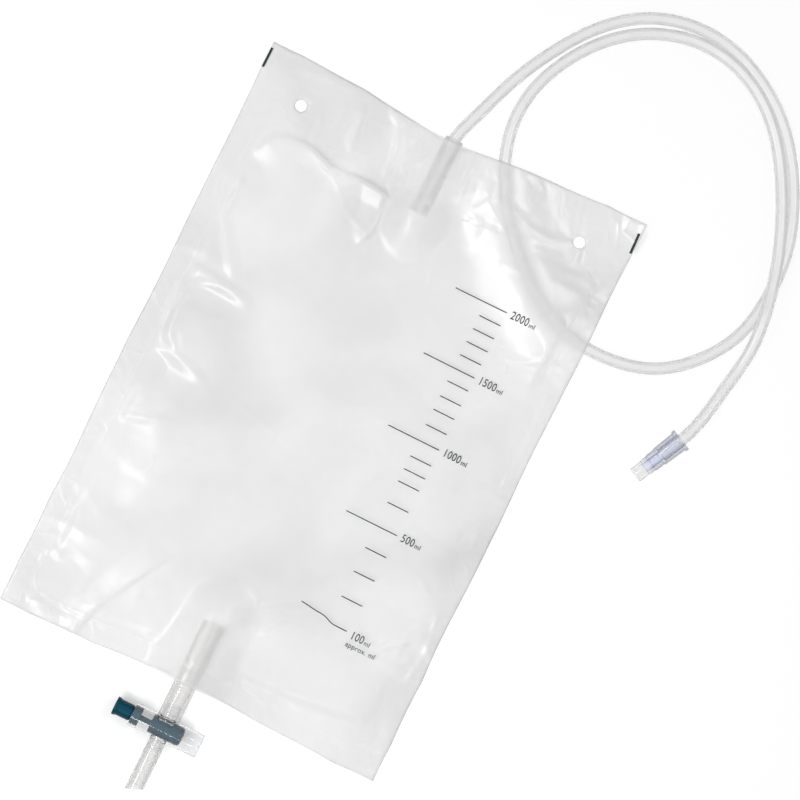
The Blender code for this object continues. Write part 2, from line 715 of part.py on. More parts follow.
def main():
    """Build the whole bag."""
    empty_scene()
    parts = new_collection("urine_drainage_bag")
    tools = new_collection("cutters")
    materials = make_materials()
    make_films(parts, tools, materials)
    make_inlet_port(parts, materials)
    make_return_valve(parts, materials)
    rim, heading = make_connector(parts, materials)
    make_inlet_tube(parts, materials, rim, heading)
    make_drain_tube(parts, materials)
    make_tap_body(parts, tools, materials)
    make_tap_plunger(parts, materials)
    make_spout_tube(parts, tools, materials)


main()
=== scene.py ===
"""Looks of the urine drainage bag: films, print, tubes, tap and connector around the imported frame.

The bag lies on its back film. +X runs across it, +Y towards the inlet and +Z up, in metres.
"""

import math

import bmesh
import bpy
import numpy as np
from bpy.props import FloatProperty, FloatVectorProperty, PointerProperty
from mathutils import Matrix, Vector


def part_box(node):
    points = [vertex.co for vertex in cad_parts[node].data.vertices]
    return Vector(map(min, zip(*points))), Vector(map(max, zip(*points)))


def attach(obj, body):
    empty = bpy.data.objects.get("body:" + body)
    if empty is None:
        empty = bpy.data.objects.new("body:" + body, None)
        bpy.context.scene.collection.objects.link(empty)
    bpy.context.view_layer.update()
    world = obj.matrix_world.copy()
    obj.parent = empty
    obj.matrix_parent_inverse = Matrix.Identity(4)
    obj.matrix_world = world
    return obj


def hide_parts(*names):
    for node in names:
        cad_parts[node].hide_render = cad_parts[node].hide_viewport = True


bl_info = {
    "name": "Urine Drainage Bag",
    "version": (1, 0, 0),
    "blender": (4, 5, 0),
    "location": "View3D > Sidebar > Drainage Bag",
    "description": "Dresses the packed frame of a urine drainage bag",
    "category": "Add Mesh",
}

MM = 0.001

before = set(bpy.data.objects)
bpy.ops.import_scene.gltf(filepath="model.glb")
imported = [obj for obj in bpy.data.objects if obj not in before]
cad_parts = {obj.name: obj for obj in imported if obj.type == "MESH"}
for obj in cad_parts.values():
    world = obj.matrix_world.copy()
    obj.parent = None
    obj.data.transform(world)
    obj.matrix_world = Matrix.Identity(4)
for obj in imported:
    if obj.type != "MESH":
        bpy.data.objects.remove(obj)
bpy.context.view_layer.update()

# Places read from the frame
BACK_LOW, BACK_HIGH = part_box("back_sheet")
PORT_LOW, PORT_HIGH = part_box("inlet_port")
VALVE_LOW, VALVE_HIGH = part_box("return_valve")
DRAIN_LOW, DRAIN_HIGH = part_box("drain_tube")
TAP_LOW, TAP_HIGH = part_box("tap_body")
PLUNGER_LOW, PLUNGER_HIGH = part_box("tap_plunger")
SPOUT_LOW, SPOUT_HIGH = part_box("spout_tube")

HALF_WIDTH = (BACK_HIGH.x - BACK_LOW.x) / 2
TOP_Y = BACK_HIGH.y
FOOT_Y = BACK_LOW.y
BAG_HEIGHT = TOP_Y - FOOT_Y
INLET_X = (PORT_LOW.x + PORT_HIGH.x) / 2
PORT_Z = (PORT_LOW.z + PORT_HIGH.z) / 2
OUTLET_X = (DRAIN_LOW.x + DRAIN_HIGH.x) / 2
TAP_Z = (DRAIN_LOW.z + DRAIN_HIGH.z) / 2

# Clearances, thin walls and the tents of the films over the tubes
CLEARANCE = 0.0003
FLOOR_GAP = 0.0001
FILM_WALL = 0.00025
VALVE_WALL = 0.0002
INK_WALL = 0.00004
INK_GAP = 0.00012
TENT_ALLOWANCE = 0.0003
PORT_TENT_FOOT = 0.0235
DRAIN_TENT_FOOT = 0.0270
TUBE_TENT_FOOT = 0.0350
TENT_FADE = 0.036
TENT_COVER = 0.002

# The inlet tube's route: x, y below the bag's top edge line, z
TUBE_R = 0.00325
TUBE_Z = FLOOR_GAP + TUBE_R
CROSSING_Z = TUBE_Z + 2 * TUBE_R + 3 * CLEARANCE
LEANING_Z = TUBE_Z + 0.0042
SOCKET_DEPTH = 0.012
OUTER_TURN = (
    (0.0034, 0.0100, 0.0054),
    (0.0118, 0.0335, TUBE_Z),
    (0.0245, 0.0583, TUBE_Z),
    (0.0396, 0.0791, TUBE_Z),
    (0.0581, 0.0943, TUBE_Z),
    (0.0813, 0.1022, TUBE_Z),
    (0.1052, 0.1013, TUBE_Z),
    (0.1274, 0.0928, TUBE_Z),
    (0.1465, 0.0789, TUBE_Z),
    (0.1617, 0.0605, TUBE_Z),
    (0.1730, 0.0391, TUBE_Z),
    (0.1797, 0.0160, TUBE_Z),
    (0.1805, -0.0070, TUBE_Z),
    (0.1762, -0.0300, TUBE_Z),
    (0.1638, -0.0501, TUBE_Z),
    (0.1445, -0.0655, TUBE_Z),
)
UNDER_BAG = (
    (0.1210, -0.0715, TUBE_Z),
    (0.0970, -0.0700, TUBE_Z),
    (0.0750, -0.0602, TUBE_Z),
    (0.0558, -0.0441, TUBE_Z),
    (0.0390, -0.0250, TUBE_Z),
    (0.0274, -0.0035, TUBE_Z),
    (0.0224, 0.0195, TUBE_Z),
)
INNER_TURN = (
    (0.0256, 0.0415, TUBE_Z),
    (0.0360, 0.0623, TUBE_Z),
    (0.0521, 0.0804, TUBE_Z),
    (0.0736, 0.0925, TUBE_Z),
    (0.0980, 0.0959, TUBE_Z + 0.0022),
    (0.1218, 0.0895, LEANING_Z),
    (0.1416, 0.0753, LEANING_Z),
    (0.1567, 0.0558, LEANING_Z),
    (0.1680, 0.0342, LEANING_Z + 0.0010),
    (0.1765, 0.0117, CROSSING_Z - 0.0006),
    (0.1819, -0.0111, CROSSING_Z),
    (0.1845, -0.0354, TUBE_Z + 0.0038),
    (0.1817, -0.0580, TUBE_Z + 0.0002),
)
CONNECTOR_RIM = (0.1728, -0.0925)
CONNECTOR_HEADING = (-0.435, -0.900)
CONNECTOR_LENGTH = 0.0303
CONNECTOR_SOCKET = 0.013
RIM_R = 0.00635
NOSE_R = 0.00400
TUBE_STRAIGHT = 0.004
CORD_STATIONS = 420

# Edges over these angles, in degrees, stay sharp
SHARP = 30.0
PIPE_SHARP = 50.0

# Creases of the films, in millimetres: the points (across, below the top edge line), then the
# half width on the left of the way along, the right side's share of it, and the height
SHARED_CREASES = (
    (((-30.0, 8.0), (-24.0, 15.0), (-17.0, 26.0), (-12.5, 37.0), (-14.5, 46.0)), 4.4, 2.0, 2.2),
    (((-36.0, 6.0), (-28.0, 16.0), (-25.6, 31.0), (-24.4, 46.0)), 2.2, 1.2, 0.9),
    (((-39.0, 4.0), (-27.5, 8.4), (-15.0, 12.0)), 2.8, 1.8, 1.3),
    (((-13.0, 4.0), (-10.0, 14.0), (-12.0, 26.0), (-9.5, 38.0)), 2.2, 1.1, 1.2),
    (((14.8, 8.0), (13.0, 20.0), (14.8, 34.0)), 1.6, 1.3, 1.3),
    (((-49.8, 8.0), (-48.4, 20.0), (-46.8, 36.0)), 2.4, 2.2, 1.5),
    (((-60.0, 12.0), (-58.0, 20.0), (-61.0, 32.0)), 1.6, 1.6, 0.6),
    (((-70.0, 22.0), (-67.0, 30.0), (-68.5, 39.0)), 1.5, 1.8, 0.8),
    (((-100.0, 13.0), (-66.0, 13.6), (-30.0, 14.5)), 1.3, 1.0, 0.25),
    (((30.0, 20.0), (58.0, 30.0), (86.0, 24.0)), 4.5, 0.7, 1.1),
    (((22.0, 6.0), (30.0, 14.0), (34.0, 28.0)), 2.4, 1.6, 0.9),
    (((72.0, 4.0), (79.0, 20.0), (84.0, 38.0)), 3.0, 1.4, 1.2),
    (((-98.0, 8.0), (-72.0, 5.0), (-50.0, 3.5)), 4.0, 0.8, 0.8),
    (((99.0, 92.0), (102.5, 130.0), (99.5, 168.0)), 2.2, 1.0, 0.6),
    (((98.0, 225.0), (103.0, 248.0), (98.5, 276.0)), 3.2, 0.8, 1.0),
    (((-58.0, 296.0), (-63.0, 309.0), (-67.0, 327.0)), 3.0, 3.4, 2.0),
    (((-11.5, 286.0), (-9.5, 300.0), (-10.5, 322.0)), 1.6, 1.2, 0.8),
    (((8.0, 286.0), (9.0, 302.0), (7.0, 322.0)), 1.6, 1.2, 0.8),
)
POUCH_CREASES = (
    (((-80.0, 36.0), (-64.0, 42.0), (-48.0, 46.0), (-33.0, 44.6), (-18.0, 46.0), (2.0, 50.0)),
     2.2, 4.8, 3.7),
    (((-25.0, 36.0), (-21.4, 47.0), (-18.6, 58.0), (-19.4, 68.0), (-24.0, 78.0)), 1.8, 6.4, 3.0),
    (((-66.0, 40.0), (-57.0, 46.0), (-49.0, 49.5), (-40.0, 58.0), (-28.0, 66.0), (-17.0, 68.0)),
     1.4, 1.2, 0.9),
    (((-16.0, 60.0), (-10.0, 52.5), (0.0, 47.0), (12.0, 43.6), (26.0, 41.0)), 2.4, 2.2, 1.7),
    (((-106.0, 124.0), (-84.0, 123.6), (-54.0, 129.0)), 3.4, 1.8, 1.2),
    (((-106.0, 172.5), (-82.0, 169.5), (-56.0, 178.0)), 3.6, 1.6, 1.1),
    (((-99.0, 211.0), (-86.0, 206.5), (-70.0, 200.0)), 3.0, 1.6, 0.9),
    (((-89.5, 133.0), (-93.0, 149.0), (-88.0, 162.0), (-78.0, 169.0)), 3.2, 1.5, 1.2),
    (((-96.0, 88.0), (-84.0, 103.0), (-71.0, 122.0)), 5.0, 0.9, 1.0),
    (((-97.0, 60.0), (-91.0, 78.0), (-95.0, 100.0)), 3.6, 1.0, 1.1),
    (((-38.0, 262.0), (-45.0, 274.0), (-54.0, 290.0), (-61.0, 306.0)), 3.2, 3.8, 2.0),
    (((-101.0, 270.0), (-96.0, 284.0), (-80.0, 296.0)), 2.2, 1.2, 0.7),
    (((14.0, 272.0), (24.0, 263.0), (36.0, 257.0)), 2.8, 0.9, 1.2),
    (((20.0, 281.0), (28.0, 271.0), (31.0, 262.0)), 2.0, 1.0, 0.9),
    (((6.0, 300.0), (50.0, 300.0), (98.0, 293.0)), 12.0, 0.35, 2.1),
    (((-46.0, 176.0), (-14.0, 183.0), (18.0, 192.0)), 1.4, 1.2, 0.2),
    (((15.0, 60.0), (18.5, 72.0), (20.5, 84.0)), 2.8, 0.9, 0.8),
    (((68.0, 95.0), (82.0, 92.0), (95.0, 86.0)), 3.0, 1.0, 0.9),
    (((46.0, 54.0), (56.0, 50.0), (66.0, 52.0)), 3.0, 1.6, 0.8),
    (((-70.0, 250.0), (-50.0, 214.0), (-22.0, 194.0)), 10.0, 0.7, 0.6),
    (((82.0, 214.0), (90.0, 222.0), (100.0, 224.0)), 2.0, 1.6, 1.0),
    (((80.0, 262.0), (88.0, 252.0), (99.0, 248.0)), 2.2, 1.2, 1.1),
    (((84.0, 60.0), (90.0, 66.0), (100.0, 68.0)), 2.0, 1.6, 0.9),
)

# Wrinkles and swellings of the films: height, reach across, reach along, seed
HEADER_WRINKLES = (0.0009, 0.015, 0.028, 3)
END_WRINKLES = (0.0005, 0.013, 0.030, 5)
SIDE_WRINKLES = (0.0008, 0.022, 0.012, 7)
POUCH_SWELLING = (0.0013, 0.060, 0.080, 11)
POUCH_SIDE_WRINKLES = (0.0013, 0.034, 0.015, 15)
POUCH_END_WRINKLES = (0.0012, 0.016, 0.034, 17)
POUCH_INNER_WRINKLES = (0.0012, 0.030, 0.017, 21)
POUCH_INNER_SWELLING = (0.0015, 0.030, 0.019, 23)
SIDE_WAVER = (0.0005, 0.020, 0.034, 31)
END_WAVER = (0.0006, 0.027, 0.020, 33)


def a_length(name, description, default):
    """A setting that is a length."""
    return FloatProperty(name=name, description=description, default=default, unit="LENGTH")


def an_angle(name, description, degrees):
    """A setting that is an angle, given in degrees."""
    return FloatProperty(
        name=name, description=description, default=math.radians(degrees), unit="ROTATION")


def a_colour(name, description, default):
    """A setting that is a colour."""
    return FloatVectorProperty(
        name=name, description=description, default=default, subtype="COLOR", size=3, min=0, max=1)


class FilmSettings(bpy.types.PropertyGroup):
    """Sizes and colours of the two films."""

    wall: a_length("Wall", "Thickness of each film", FILM_WALL)
    side_seam: a_length("Side Weld", "Width of the side and foot welds", 0.012)
    header: a_length("Header", "Height of the welded header", 0.036)
    pouch_gap: a_length("Pouch Gap", "Gap between the films of the empty pouch", 0.0024)
    hanger_x: a_length("Hanger Place", "Hanger hole's distance from the middle", 0.0805)
    hanger_drop: a_length("Hanger Drop", "Hanger hole's distance below the top edge", 0.024)
    hanger_radius: a_length("Hanger Hole", "Radius of a hanger hole", 0.0032)
    front_step: a_length("Front Grid", "Grid step of the front film", 0.0013)
    back_step: a_length("Back Grid", "Grid step of the back film", 0.0020)
    front_colour: a_colour("Front Film", "Colour of the clear front film", (0.872, 0.877, 0.875))
    back_colour: a_colour("Back Film", "Colour of the milky back film", (0.892, 0.897, 0.887))


class PrintSettings(bpy.types.PropertyGroup):
    """Sizes and colour of the printed volume scale."""

    line: a_length("Line", "Width of a scale line", 0.00058)
    digit: a_length("Digit", "Height of the scale's digits", 0.0043)
    small: a_length("Small Letters", "Height of the unit's letters", 0.0026)
    ink: a_colour("Ink", "Colour of the printed scale", (0.030, 0.045, 0.052))
    mark: a_colour("Corner Mark", "Colour of the marks at the top corners", (0.002, 0.012, 0.014))


class TubeSettings(bpy.types.PropertyGroup):
    """Sizes and colours of the inlet tube, its port and the connector."""

    bore: a_length("Bore", "Inner diameter of the inlet tube", 0.0046)
    port_bore: a_length("Port Bore", "Inner diameter of the port below its socket", 0.0050)
    connector_bore: a_length("Connector Bore", "Inner diameter of the connector's nose", 0.0052)
    tube_colour: a_colour("Tube", "Colour of the clear tube", (0.98, 0.98, 0.98))
    port_colour: a_colour("Port", "Colour of the port's soft plastic", (0.88, 0.88, 0.88))
    lilac: a_colour("Connector Tint", "Tint of the connector's body", (0.85, 0.875, 0.98))
    nose: a_colour("Connector Nose", "Colour of the connector's clear nose", (0.95, 0.95, 0.96))


class TapSettings(bpy.types.PropertyGroup):
    """Sizes and colours of the drain tube, the push tap and the spout."""

    drain_bore: a_length("Drain Bore", "Inner diameter of the drain tube", 0.0086)
    barrel_bore: a_length("Barrel Bore", "Inner diameter of the tap's barrel", 0.0108)
    spout_bore: a_length("Spout Bore", "Inner diameter of the spout", 0.0074)
    slant: an_angle("Spout Slant", "Slant of the spout's cut end", 21.0)
    clear_colour: a_colour("Tap Body", "Colour of the clear tap body", (0.95, 0.955, 0.96))
    soft_colour: a_colour("Drain And Spout", "Colour of the drain tube and spout", (0.92, 0.915, 0.91))
    teal: a_colour("Plunger", "Colour of the plunger", (0.0010, 0.066, 0.106))


class StageSettings(bpy.types.PropertyGroup):
    """The floor, the lamps and the camera."""

    lamp_level: FloatProperty(
        name="Lamp Level", description="Factor on the power of all the lamps", default=1.0)
    turn: an_angle("Turn", "How far the bag is turned in the picture", 26.2)
    distance: a_length("Distance", "Height of the camera over the floor", 1.386)
    aim_x: a_length("Aim Across", "Point below the camera, across the bag", 0.0331)
    aim_y: a_length("Aim Along", "Point below the camera, along the bag", 0.0521)
    lens: FloatProperty(name="Lens", description="Focal length in millimetres", default=120.0)


def ease(value):
    """A smooth step: 0 below 0, 1 above 1, and 3v^2 - 2v^3 between."""
    held = np.clip(value, 0.0, 1.0)
    return held * held * (3.0 - 2.0 * held)


def smooth_route(points, samples):
    """A natural cubic spline through the points, by chord length, at even steps."""
    knots = np.array(points, float)
    chord = np.linalg.norm(np.diff(knots, axis=0), axis=1)
    along = np.concatenate(([0.0], np.cumsum(chord)))
    count = len(knots)
    system = np.eye(count)
    change = np.zeros((count, knots.shape[1]))
    for i in range(1, count - 1):
        system[i, i - 1:i + 2] = chord[i - 1] / 6, (chord[i - 1] + chord[i]) / 3, chord[i] / 6
        change[i] = (knots[i + 1] - knots[i]) / chord[i] - (knots[i] - knots[i - 1]) / chord[i - 1]
    bend = np.linalg.solve(system, change)
    s = np.linspace(0.0, along[-1], samples)
    k = np.clip(np.searchsorted(along, s, side="right") - 1, 0, count - 2)
    step = chord[k][:, None]
    before = (along[k + 1] - s)[:, None]
    after = (s - along[k])[:, None]
    cubic = (bend[k] * before ** 3 + bend[k + 1] * after ** 3) / (6 * step)
    left = (knots[k] / step - bend[k] * step / 6) * before
    right = (knots[k + 1] / step - bend[k + 1] * step / 6) * after
    return cubic + left + right


def near_line(x, y, corners):
    """For each point, its distance to an open line, positive on the left, and the share along.

    Each run of the line gives the foot of the perpendicular, held between the run's ends, and
    the nearest run counts.
    """
    runs = np.diff(corners, axis=0)
    lengths = np.linalg.norm(runs, axis=1)
    starts = np.concatenate(([0.0], np.cumsum(lengths)))
    best = np.full(np.shape(x), np.inf)
    signed = np.zeros(np.shape(x))
    share = np.zeros(np.shape(x))
    for corner, run, length, start in zip(corners, runs, lengths, starts):
        dx = x - corner[0]
        dy = y - corner[1]
        t = np.clip((dx * run[0] + dy * run[1]) / length ** 2, 0.0, 1.0)
        distance = np.hypot(dx - t * run[0], dy - t * run[1])
        nearer = distance < best
        side = np.where(run[0] * dy - run[1] * dx < 0, -1.0, 1.0)
        best = np.where(nearer, distance, best)
        signed = np.where(nearer, distance * side, signed)
        share = np.where(nearer, (start + t * length) / starts[-1], share)
    return signed, share


def crease(x, y, points, wide, lean, high):
    """A sharp crest along a smooth line: high * max(0, 1 - |d| / w)^1.2, w being wide on its left
    side and wide * lean on its right, and eased to nothing over the first and last quarter."""
    line = smooth_route([(px * MM, TOP_Y - down * MM) for px, down in points], 4 * len(points))
    signed, share = near_line(x, y, line)
    reach = np.where(signed > 0, wide * MM, wide * lean * MM)
    taper = ease(4.0 * share) * ease(4.0 * (1.0 - share))
    return high * MM * taper * np.maximum(0.0, 1.0 - np.abs(signed) / reach) ** 1.2


def soft_noise(x, y, high, across, along, seed):
    """Smooth noise, mostly between -high and high: 16 waves cos(pi * f * (cos h * x / across +
    sin h * y / along) + p) with seeded headings h, paces f and phases p, added up, over 4."""
    count = 16
    draw = np.random.default_rng(seed)
    waves = zip(draw.uniform(0.0, math.tau, count), draw.uniform(0.4, 1.1, count),
                draw.uniform(0.0, math.tau, count))
    total = 0.0
    for heading, pace, phase in waves:
        run = math.cos(heading) * x / across + math.sin(heading) * y / along
        total = total + np.cos(math.pi * pace * run + phase)
    return high * total / math.sqrt(count)


def crumpled(x, y, high, across, along, seed):
    """Crumpled film, about 0 to high: sharp crests where a soft noise n crosses zero, 1 - |n|,
    over the facets between them, under a second noise that lets them swell and fade."""
    wider, middle, spread = 1.9, 0.55, 0.6
    sharp = 1.0 - np.minimum(np.abs(soft_noise(x, y, 1.0, across, along, seed)), 1.0)
    fading = soft_noise(x, y, spread, wider * across, wider * along, seed + 1)
    return high * sharp * ease(middle + fading)


def draped(offset, radius, foot):
    """Height of a loose film laid over a round piece on the floor: 2 r * cos^2(pi d / 2 f), f
    being where it comes down to the floor again, which clears the round for every f over pi r."""
    return 2.0 * radius * np.cos(0.5 * math.pi * np.minimum(offset / foot, 1.0)) ** 2


def drawn_in(x, y):
    """The films are drawn towards the bag's middle where they stand over the two tubes: y less
    6.5 mm * exp(-(x / 45 mm)^2) at the top and y plus 3.8 mm * the same at the foot."""
    wide = 0.045
    top_draw, top_reach, top_fade = 0.0065, 0.20, 0.12
    foot_draw, foot_reach, foot_fade = 0.0038, 0.12, 0.07
    upper = np.exp(-((x - INLET_X) / wide) ** 2) * ease((y - TOP_Y + top_reach) / top_fade)
    lower = np.exp(-((x - OUTLET_X) / wide) ** 2) * ease((FOOT_Y + foot_reach - y) / foot_fade)
    return y - top_draw * upper + foot_draw * lower


def edge_waver(x, y):
    """The cut edges wander by about 0.5 mm: soft noise along each edge, fading inwards."""
    fade = 0.012
    across = soft_noise(x * 0, y, *SIDE_WAVER) * np.exp(-(HALF_WIDTH - np.abs(x)) / fade)
    end = np.minimum(TOP_Y - y, y - FOOT_Y)
    along = soft_noise(x, y * 0, *END_WAVER) * np.exp(-end / fade)
    return x - np.abs(across) * np.sign(x), y - np.abs(along) * np.sign(y)


def inside_pouch(films, flat_x, flat_y):
    """0 on the welds and the header, rising to 1 over the pouch: the product of three eased
    rises away from the side, foot and header welds, in the films' flat plan."""
    rise = 0.030
    sides = ease((HALF_WIDTH - films.side_seam - np.abs(flat_x)) / rise)
    foot = ease((flat_y - FOOT_Y - films.side_seam) / rise)
    head = ease((TOP_Y - films.header - flat_y) / rise)
    return sides * foot * head


def seam_nearness(films, flat_x, flat_y):
    """How near a point is to the side welds and to the end welds: exp(-(d / 26 mm)^2)."""
    reach = 0.026
    side = np.abs(HALF_WIDTH - films.side_seam - np.abs(flat_x))
    head = np.abs(TOP_Y - films.header - flat_y)
    foot = np.abs(flat_y - FOOT_Y - films.side_seam)
    return np.exp(-(side / reach) ** 2), np.exp(-(np.minimum(head, foot) / reach) ** 2)


def tube_tent(x, y):
    """Height of the tent over the tube below the bag."""
    tube_line = smooth_route([(px, py + TOP_Y) for px, py, _ in UNDER_BAG], 60)
    over_tube, _ = near_line(x, y, tube_line)
    tent_radius = TUBE_R + FLOOR_GAP + CLEARANCE + 2 * TENT_ALLOWANCE
    return draped(np.abs(over_tube), tent_radius, TUBE_TENT_FOOT)


def under_tubes(x, y):
    """1 below the inlet port and the drain tube, where the back film lies flat, easing to 0."""
    wide, fade = 0.014, 0.007
    port = ease((wide - np.abs(x - INLET_X)) / fade) * ease((y - PORT_LOW.y + wide) / fade)
    drain = ease((wide - np.abs(x - OUTLET_X)) / fade) * ease((DRAIN_HIGH.y + wide - y) / fade)
    return np.maximum(port, drain)


def shared_lift(films, x, y, flat_x, flat_y):
    """Height that both films share: the wall, the tent over the tube below, the curled corner
    h * max(0, 1 - d / r)^2, the shared creases, and small wrinkles that run from the welds."""
    curl_high, curl_reach = 0.0075, 0.034
    header_fade = 0.012
    from_corner = ((HALF_WIDTH - x) + (TOP_Y - y)) / math.sqrt(2.0)
    lift = curl_high * np.maximum(0.0, 1.0 - from_corner / curl_reach) ** 2
    for points, wide, lean, high in SHARED_CREASES:
        lift = lift + crease(x, y, points, wide, lean, high)
    side, end = seam_nearness(films, flat_x, flat_y)
    header = ease((flat_y - TOP_Y + films.header + header_fade / 2) / header_fade)
    lift = lift + header * crumpled(x, y, *HEADER_WRINKLES)
    lift = lift + (1 - header) * end * crumpled(x, y, *END_WRINKLES)
    lift = lift + side * crumpled(x, y, *SIDE_WRINKLES)
    return films.wall + (tube_tent(x, y) + lift) * (1.0 - under_tubes(x, y))


def pouch_swelling(films, x, y, pouch):
    """Height of the lying pouch: its gap and soft swelling, less over the tube below the bag and
    in the slack lower left corner, times how far inside the pouch the point is."""
    slack_x, slack_y, slack_reach, slackness = -0.080, -0.096, 0.026, 0.65
    over_tube = 0.4
    away = ((x - slack_x) ** 2 + (y - slack_y) ** 2) / slack_reach ** 2
    swell = soft_noise(x, y, *POUCH_SWELLING) - over_tube * tube_tent(x, y)
    return pouch * (1.0 - slackness * np.exp(-away)) * np.maximum(0.0, films.pouch_gap + swell)


def pouch_gap(films, x, y, flat_x, flat_y):
    """Gap from the back film to the front one: the swelling, creased pouch h and the tents p over
    the inlet port and d over the drain tube, blended as (h^4 + p^4 + d^4)^(1/4)."""
    crease_start, crease_rise = -0.02, 0.12
    pouch = inside_pouch(films, flat_x, flat_y)
    height = pouch_swelling(films, x, y, pouch)
    raised = ease((pouch - crease_start) / crease_rise)
    for points, wide, lean, high in POUCH_CREASES:
        height = height + raised * crease(x, y, points, wide, lean, high)
    side, end = seam_nearness(films, flat_x, flat_y)
    height = height + raised * (
        side * crumpled(x, y, *POUCH_SIDE_WRINKLES) + end * crumpled(x, y, *POUCH_END_WRINKLES)
        + np.sqrt(side) * (crumpled(x, y, *POUCH_INNER_WRINKLES)
                           + soft_noise(x, y, *POUCH_INNER_SWELLING)))
    port_radius = (PORT_HIGH.x - PORT_LOW.x) / 2 + VALVE_WALL + 2 * CLEARANCE + TENT_ALLOWANCE
    port_fade = ease((y - (PORT_LOW.y - TENT_COVER - TENT_FADE)) / TENT_FADE)
    port = port_fade * draped(np.abs(x - INLET_X), port_radius, PORT_TENT_FOOT)
    drain_radius = (DRAIN_HIGH.x - DRAIN_LOW.x) / 2 + CLEARANCE + TENT_ALLOWANCE
    drain_fade = ease((DRAIN_HIGH.y + TENT_COVER + TENT_FADE - y) / TENT_FADE)
    drain = drain_fade * draped(np.abs(x - OUTLET_X), drain_radius, DRAIN_TENT_FOOT)
    return CLEARANCE + (np.maximum(height, 0.0) ** 4 + port ** 4 + drain ** 4) ** 0.25


def grid_mesh(name, points, wrap_rows=False, wrap_columns=False, keep=None, uv=None):
    """A mesh of quads on a grid of points, rows by columns by 3, closed where a side wraps."""
    rows, columns = points.shape[:2]
    index = np.arange(rows * columns).reshape(rows, columns)
    if wrap_rows:
        index = np.vstack([index, index[:1]])
    if wrap_columns:
        index = np.hstack([index, index[:, :1]])
    quads = np.stack([index[:-1, :-1], index[:-1, 1:], index[1:, 1:], index[1:, :-1]], axis=-1)
    quads = quads.reshape(-1, 4)
    if keep is not None:
        quads = quads[keep.ravel()]
        used = np.unique(quads)
        fresh = np.full(rows * columns, -1)
        fresh[used] = np.arange(len(used))
        quads = fresh[quads]
        points = points.reshape(-1, 3)[used]
        uv = None if uv is None else uv.reshape(-1, 2)[used]
    points = points.reshape(-1, 3)
    mesh = bpy.data.meshes.new(name)
    mesh.vertices.add(len(points))
    mesh.vertices.foreach_set("co", points.astype(np.float32).ravel())
    mesh.loops.add(quads.size)
    mesh.loops.foreach_set("vertex_index", quads.astype(np.int32).ravel())
    mesh.polygons.add(len(quads))
    mesh.polygons.foreach_set("loop_start", np.arange(0, quads.size, 4, dtype=np.int32))
    mesh.update(calc_edges=True)
    mesh.validate()
    if uv is not None:
        layer = mesh.uv_layers.new(name="plan")
        layer.data.foreach_set("uv", uv.reshape(-1, 2)[quads.ravel()].astype(np.float32).ravel())
    return mesh


def piece(name, mesh, body, slot, material, replaces=(), shadow=True):
    """Link a finished mesh at the origin, smooth, dressed and riding on its body. Bounced light
    sees only the solid plastic, and passes by all that is clear."""
    thing = bpy.data.objects.new(name, mesh)
    bpy.context.scene.collection.objects.link(thing)
    thing.visible_shadow = shadow
    thing.visible_diffuse = slot == "plunger_plastic"
    mesh.shade_smooth()
    mesh.materials.append(material)
    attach(thing, body)
    if replaces:
        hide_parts(*replaces)
    return thing


def add_wall(thing, thickness, offset=1.0):
    """Give a single surface its wall, outwards where the offset is 1 and inwards at -1."""
    wall = thing.modifiers.new("wall", "SOLIDIFY")
    wall.thickness = thickness
    wall.offset = offset


def outward(mesh, sharp=None):
    """Turn a mesh's faces outwards. Where sharp is given, the mesh is a solid: its doubles are
    merged, and its edges over that angle in degrees are marked sharp."""
    body = bmesh.new()
    body.from_mesh(mesh)
    if sharp is not None:
        bmesh.ops.remove_doubles(body, verts=body.verts[:], dist=1e-7)
    bmesh.ops.recalc_face_normals(body, faces=body.faces[:])
    body.to_mesh(mesh)
    body.free()
    if sharp is not None:
        mesh.shade_smooth()
        mesh.set_sharp_from_angle(angle=math.radians(sharp))
    return mesh


def round_map(angle, share):
    """A map for a round piece: the share of the turn across and the share of the way along."""
    turn = angle[None, :] / math.tau
    return np.stack(np.broadcast_arrays(turn, share[:, None]), axis=-1)


def filleted(corners, radius, steps=5):
    """A closed outline with each corner rounded: between the points a radius before and after
    the corner, the curve (1-t)^2 a + 2t(1-t) c + t^2 b. A radius never passes half a side."""
    corners = np.array(corners, float)
    before = np.roll(corners, 1, axis=0)
    after = np.roll(corners, -1, axis=0)
    into = before - corners
    out = after - corners
    into_length = np.linalg.norm(into, axis=1, keepdims=True)
    out_length = np.linalg.norm(out, axis=1, keepdims=True)
    reach = np.minimum(radius, 0.45 * np.minimum(into_length, out_length))
    a = corners + into / into_length * reach
    b = corners + out / out_length * reach
    t = np.linspace(0.0, 1.0, steps)[None, :, None]
    arc = (1 - t) ** 2 * a[:, None] + 2 * t * (1 - t) * corners[:, None] + t ** 2 * b[:, None]
    return arc.reshape(-1, 2)


def turned_mesh(name, outline, origin, axis, sides=72, closed=True):
    """A turned mesh: the outline's (radius, along) pairs swept about the axis through the origin,
    origin + along * axis + radius * (cos a * e1 + sin a * e2). The map is (a, along)."""
    axis = np.array(Vector(axis).normalized())
    e1 = np.array(Vector(axis).orthogonal().normalized())
    e2 = np.cross(axis, e1)
    angle = np.arange(sides) * math.tau / sides
    around = np.cos(angle)[:, None] * e1 + np.sin(angle)[:, None] * e2
    radius, along = np.array(outline).T
    points = np.array(origin) + along[:, None, None] * axis + radius[:, None, None] * around
    share = (along - along.min()) / (along.max() - along.min())
    mesh = grid_mesh(name, points, wrap_rows=closed, wrap_columns=True, uv=round_map(angle, share))
    return outward(mesh, SHARP)


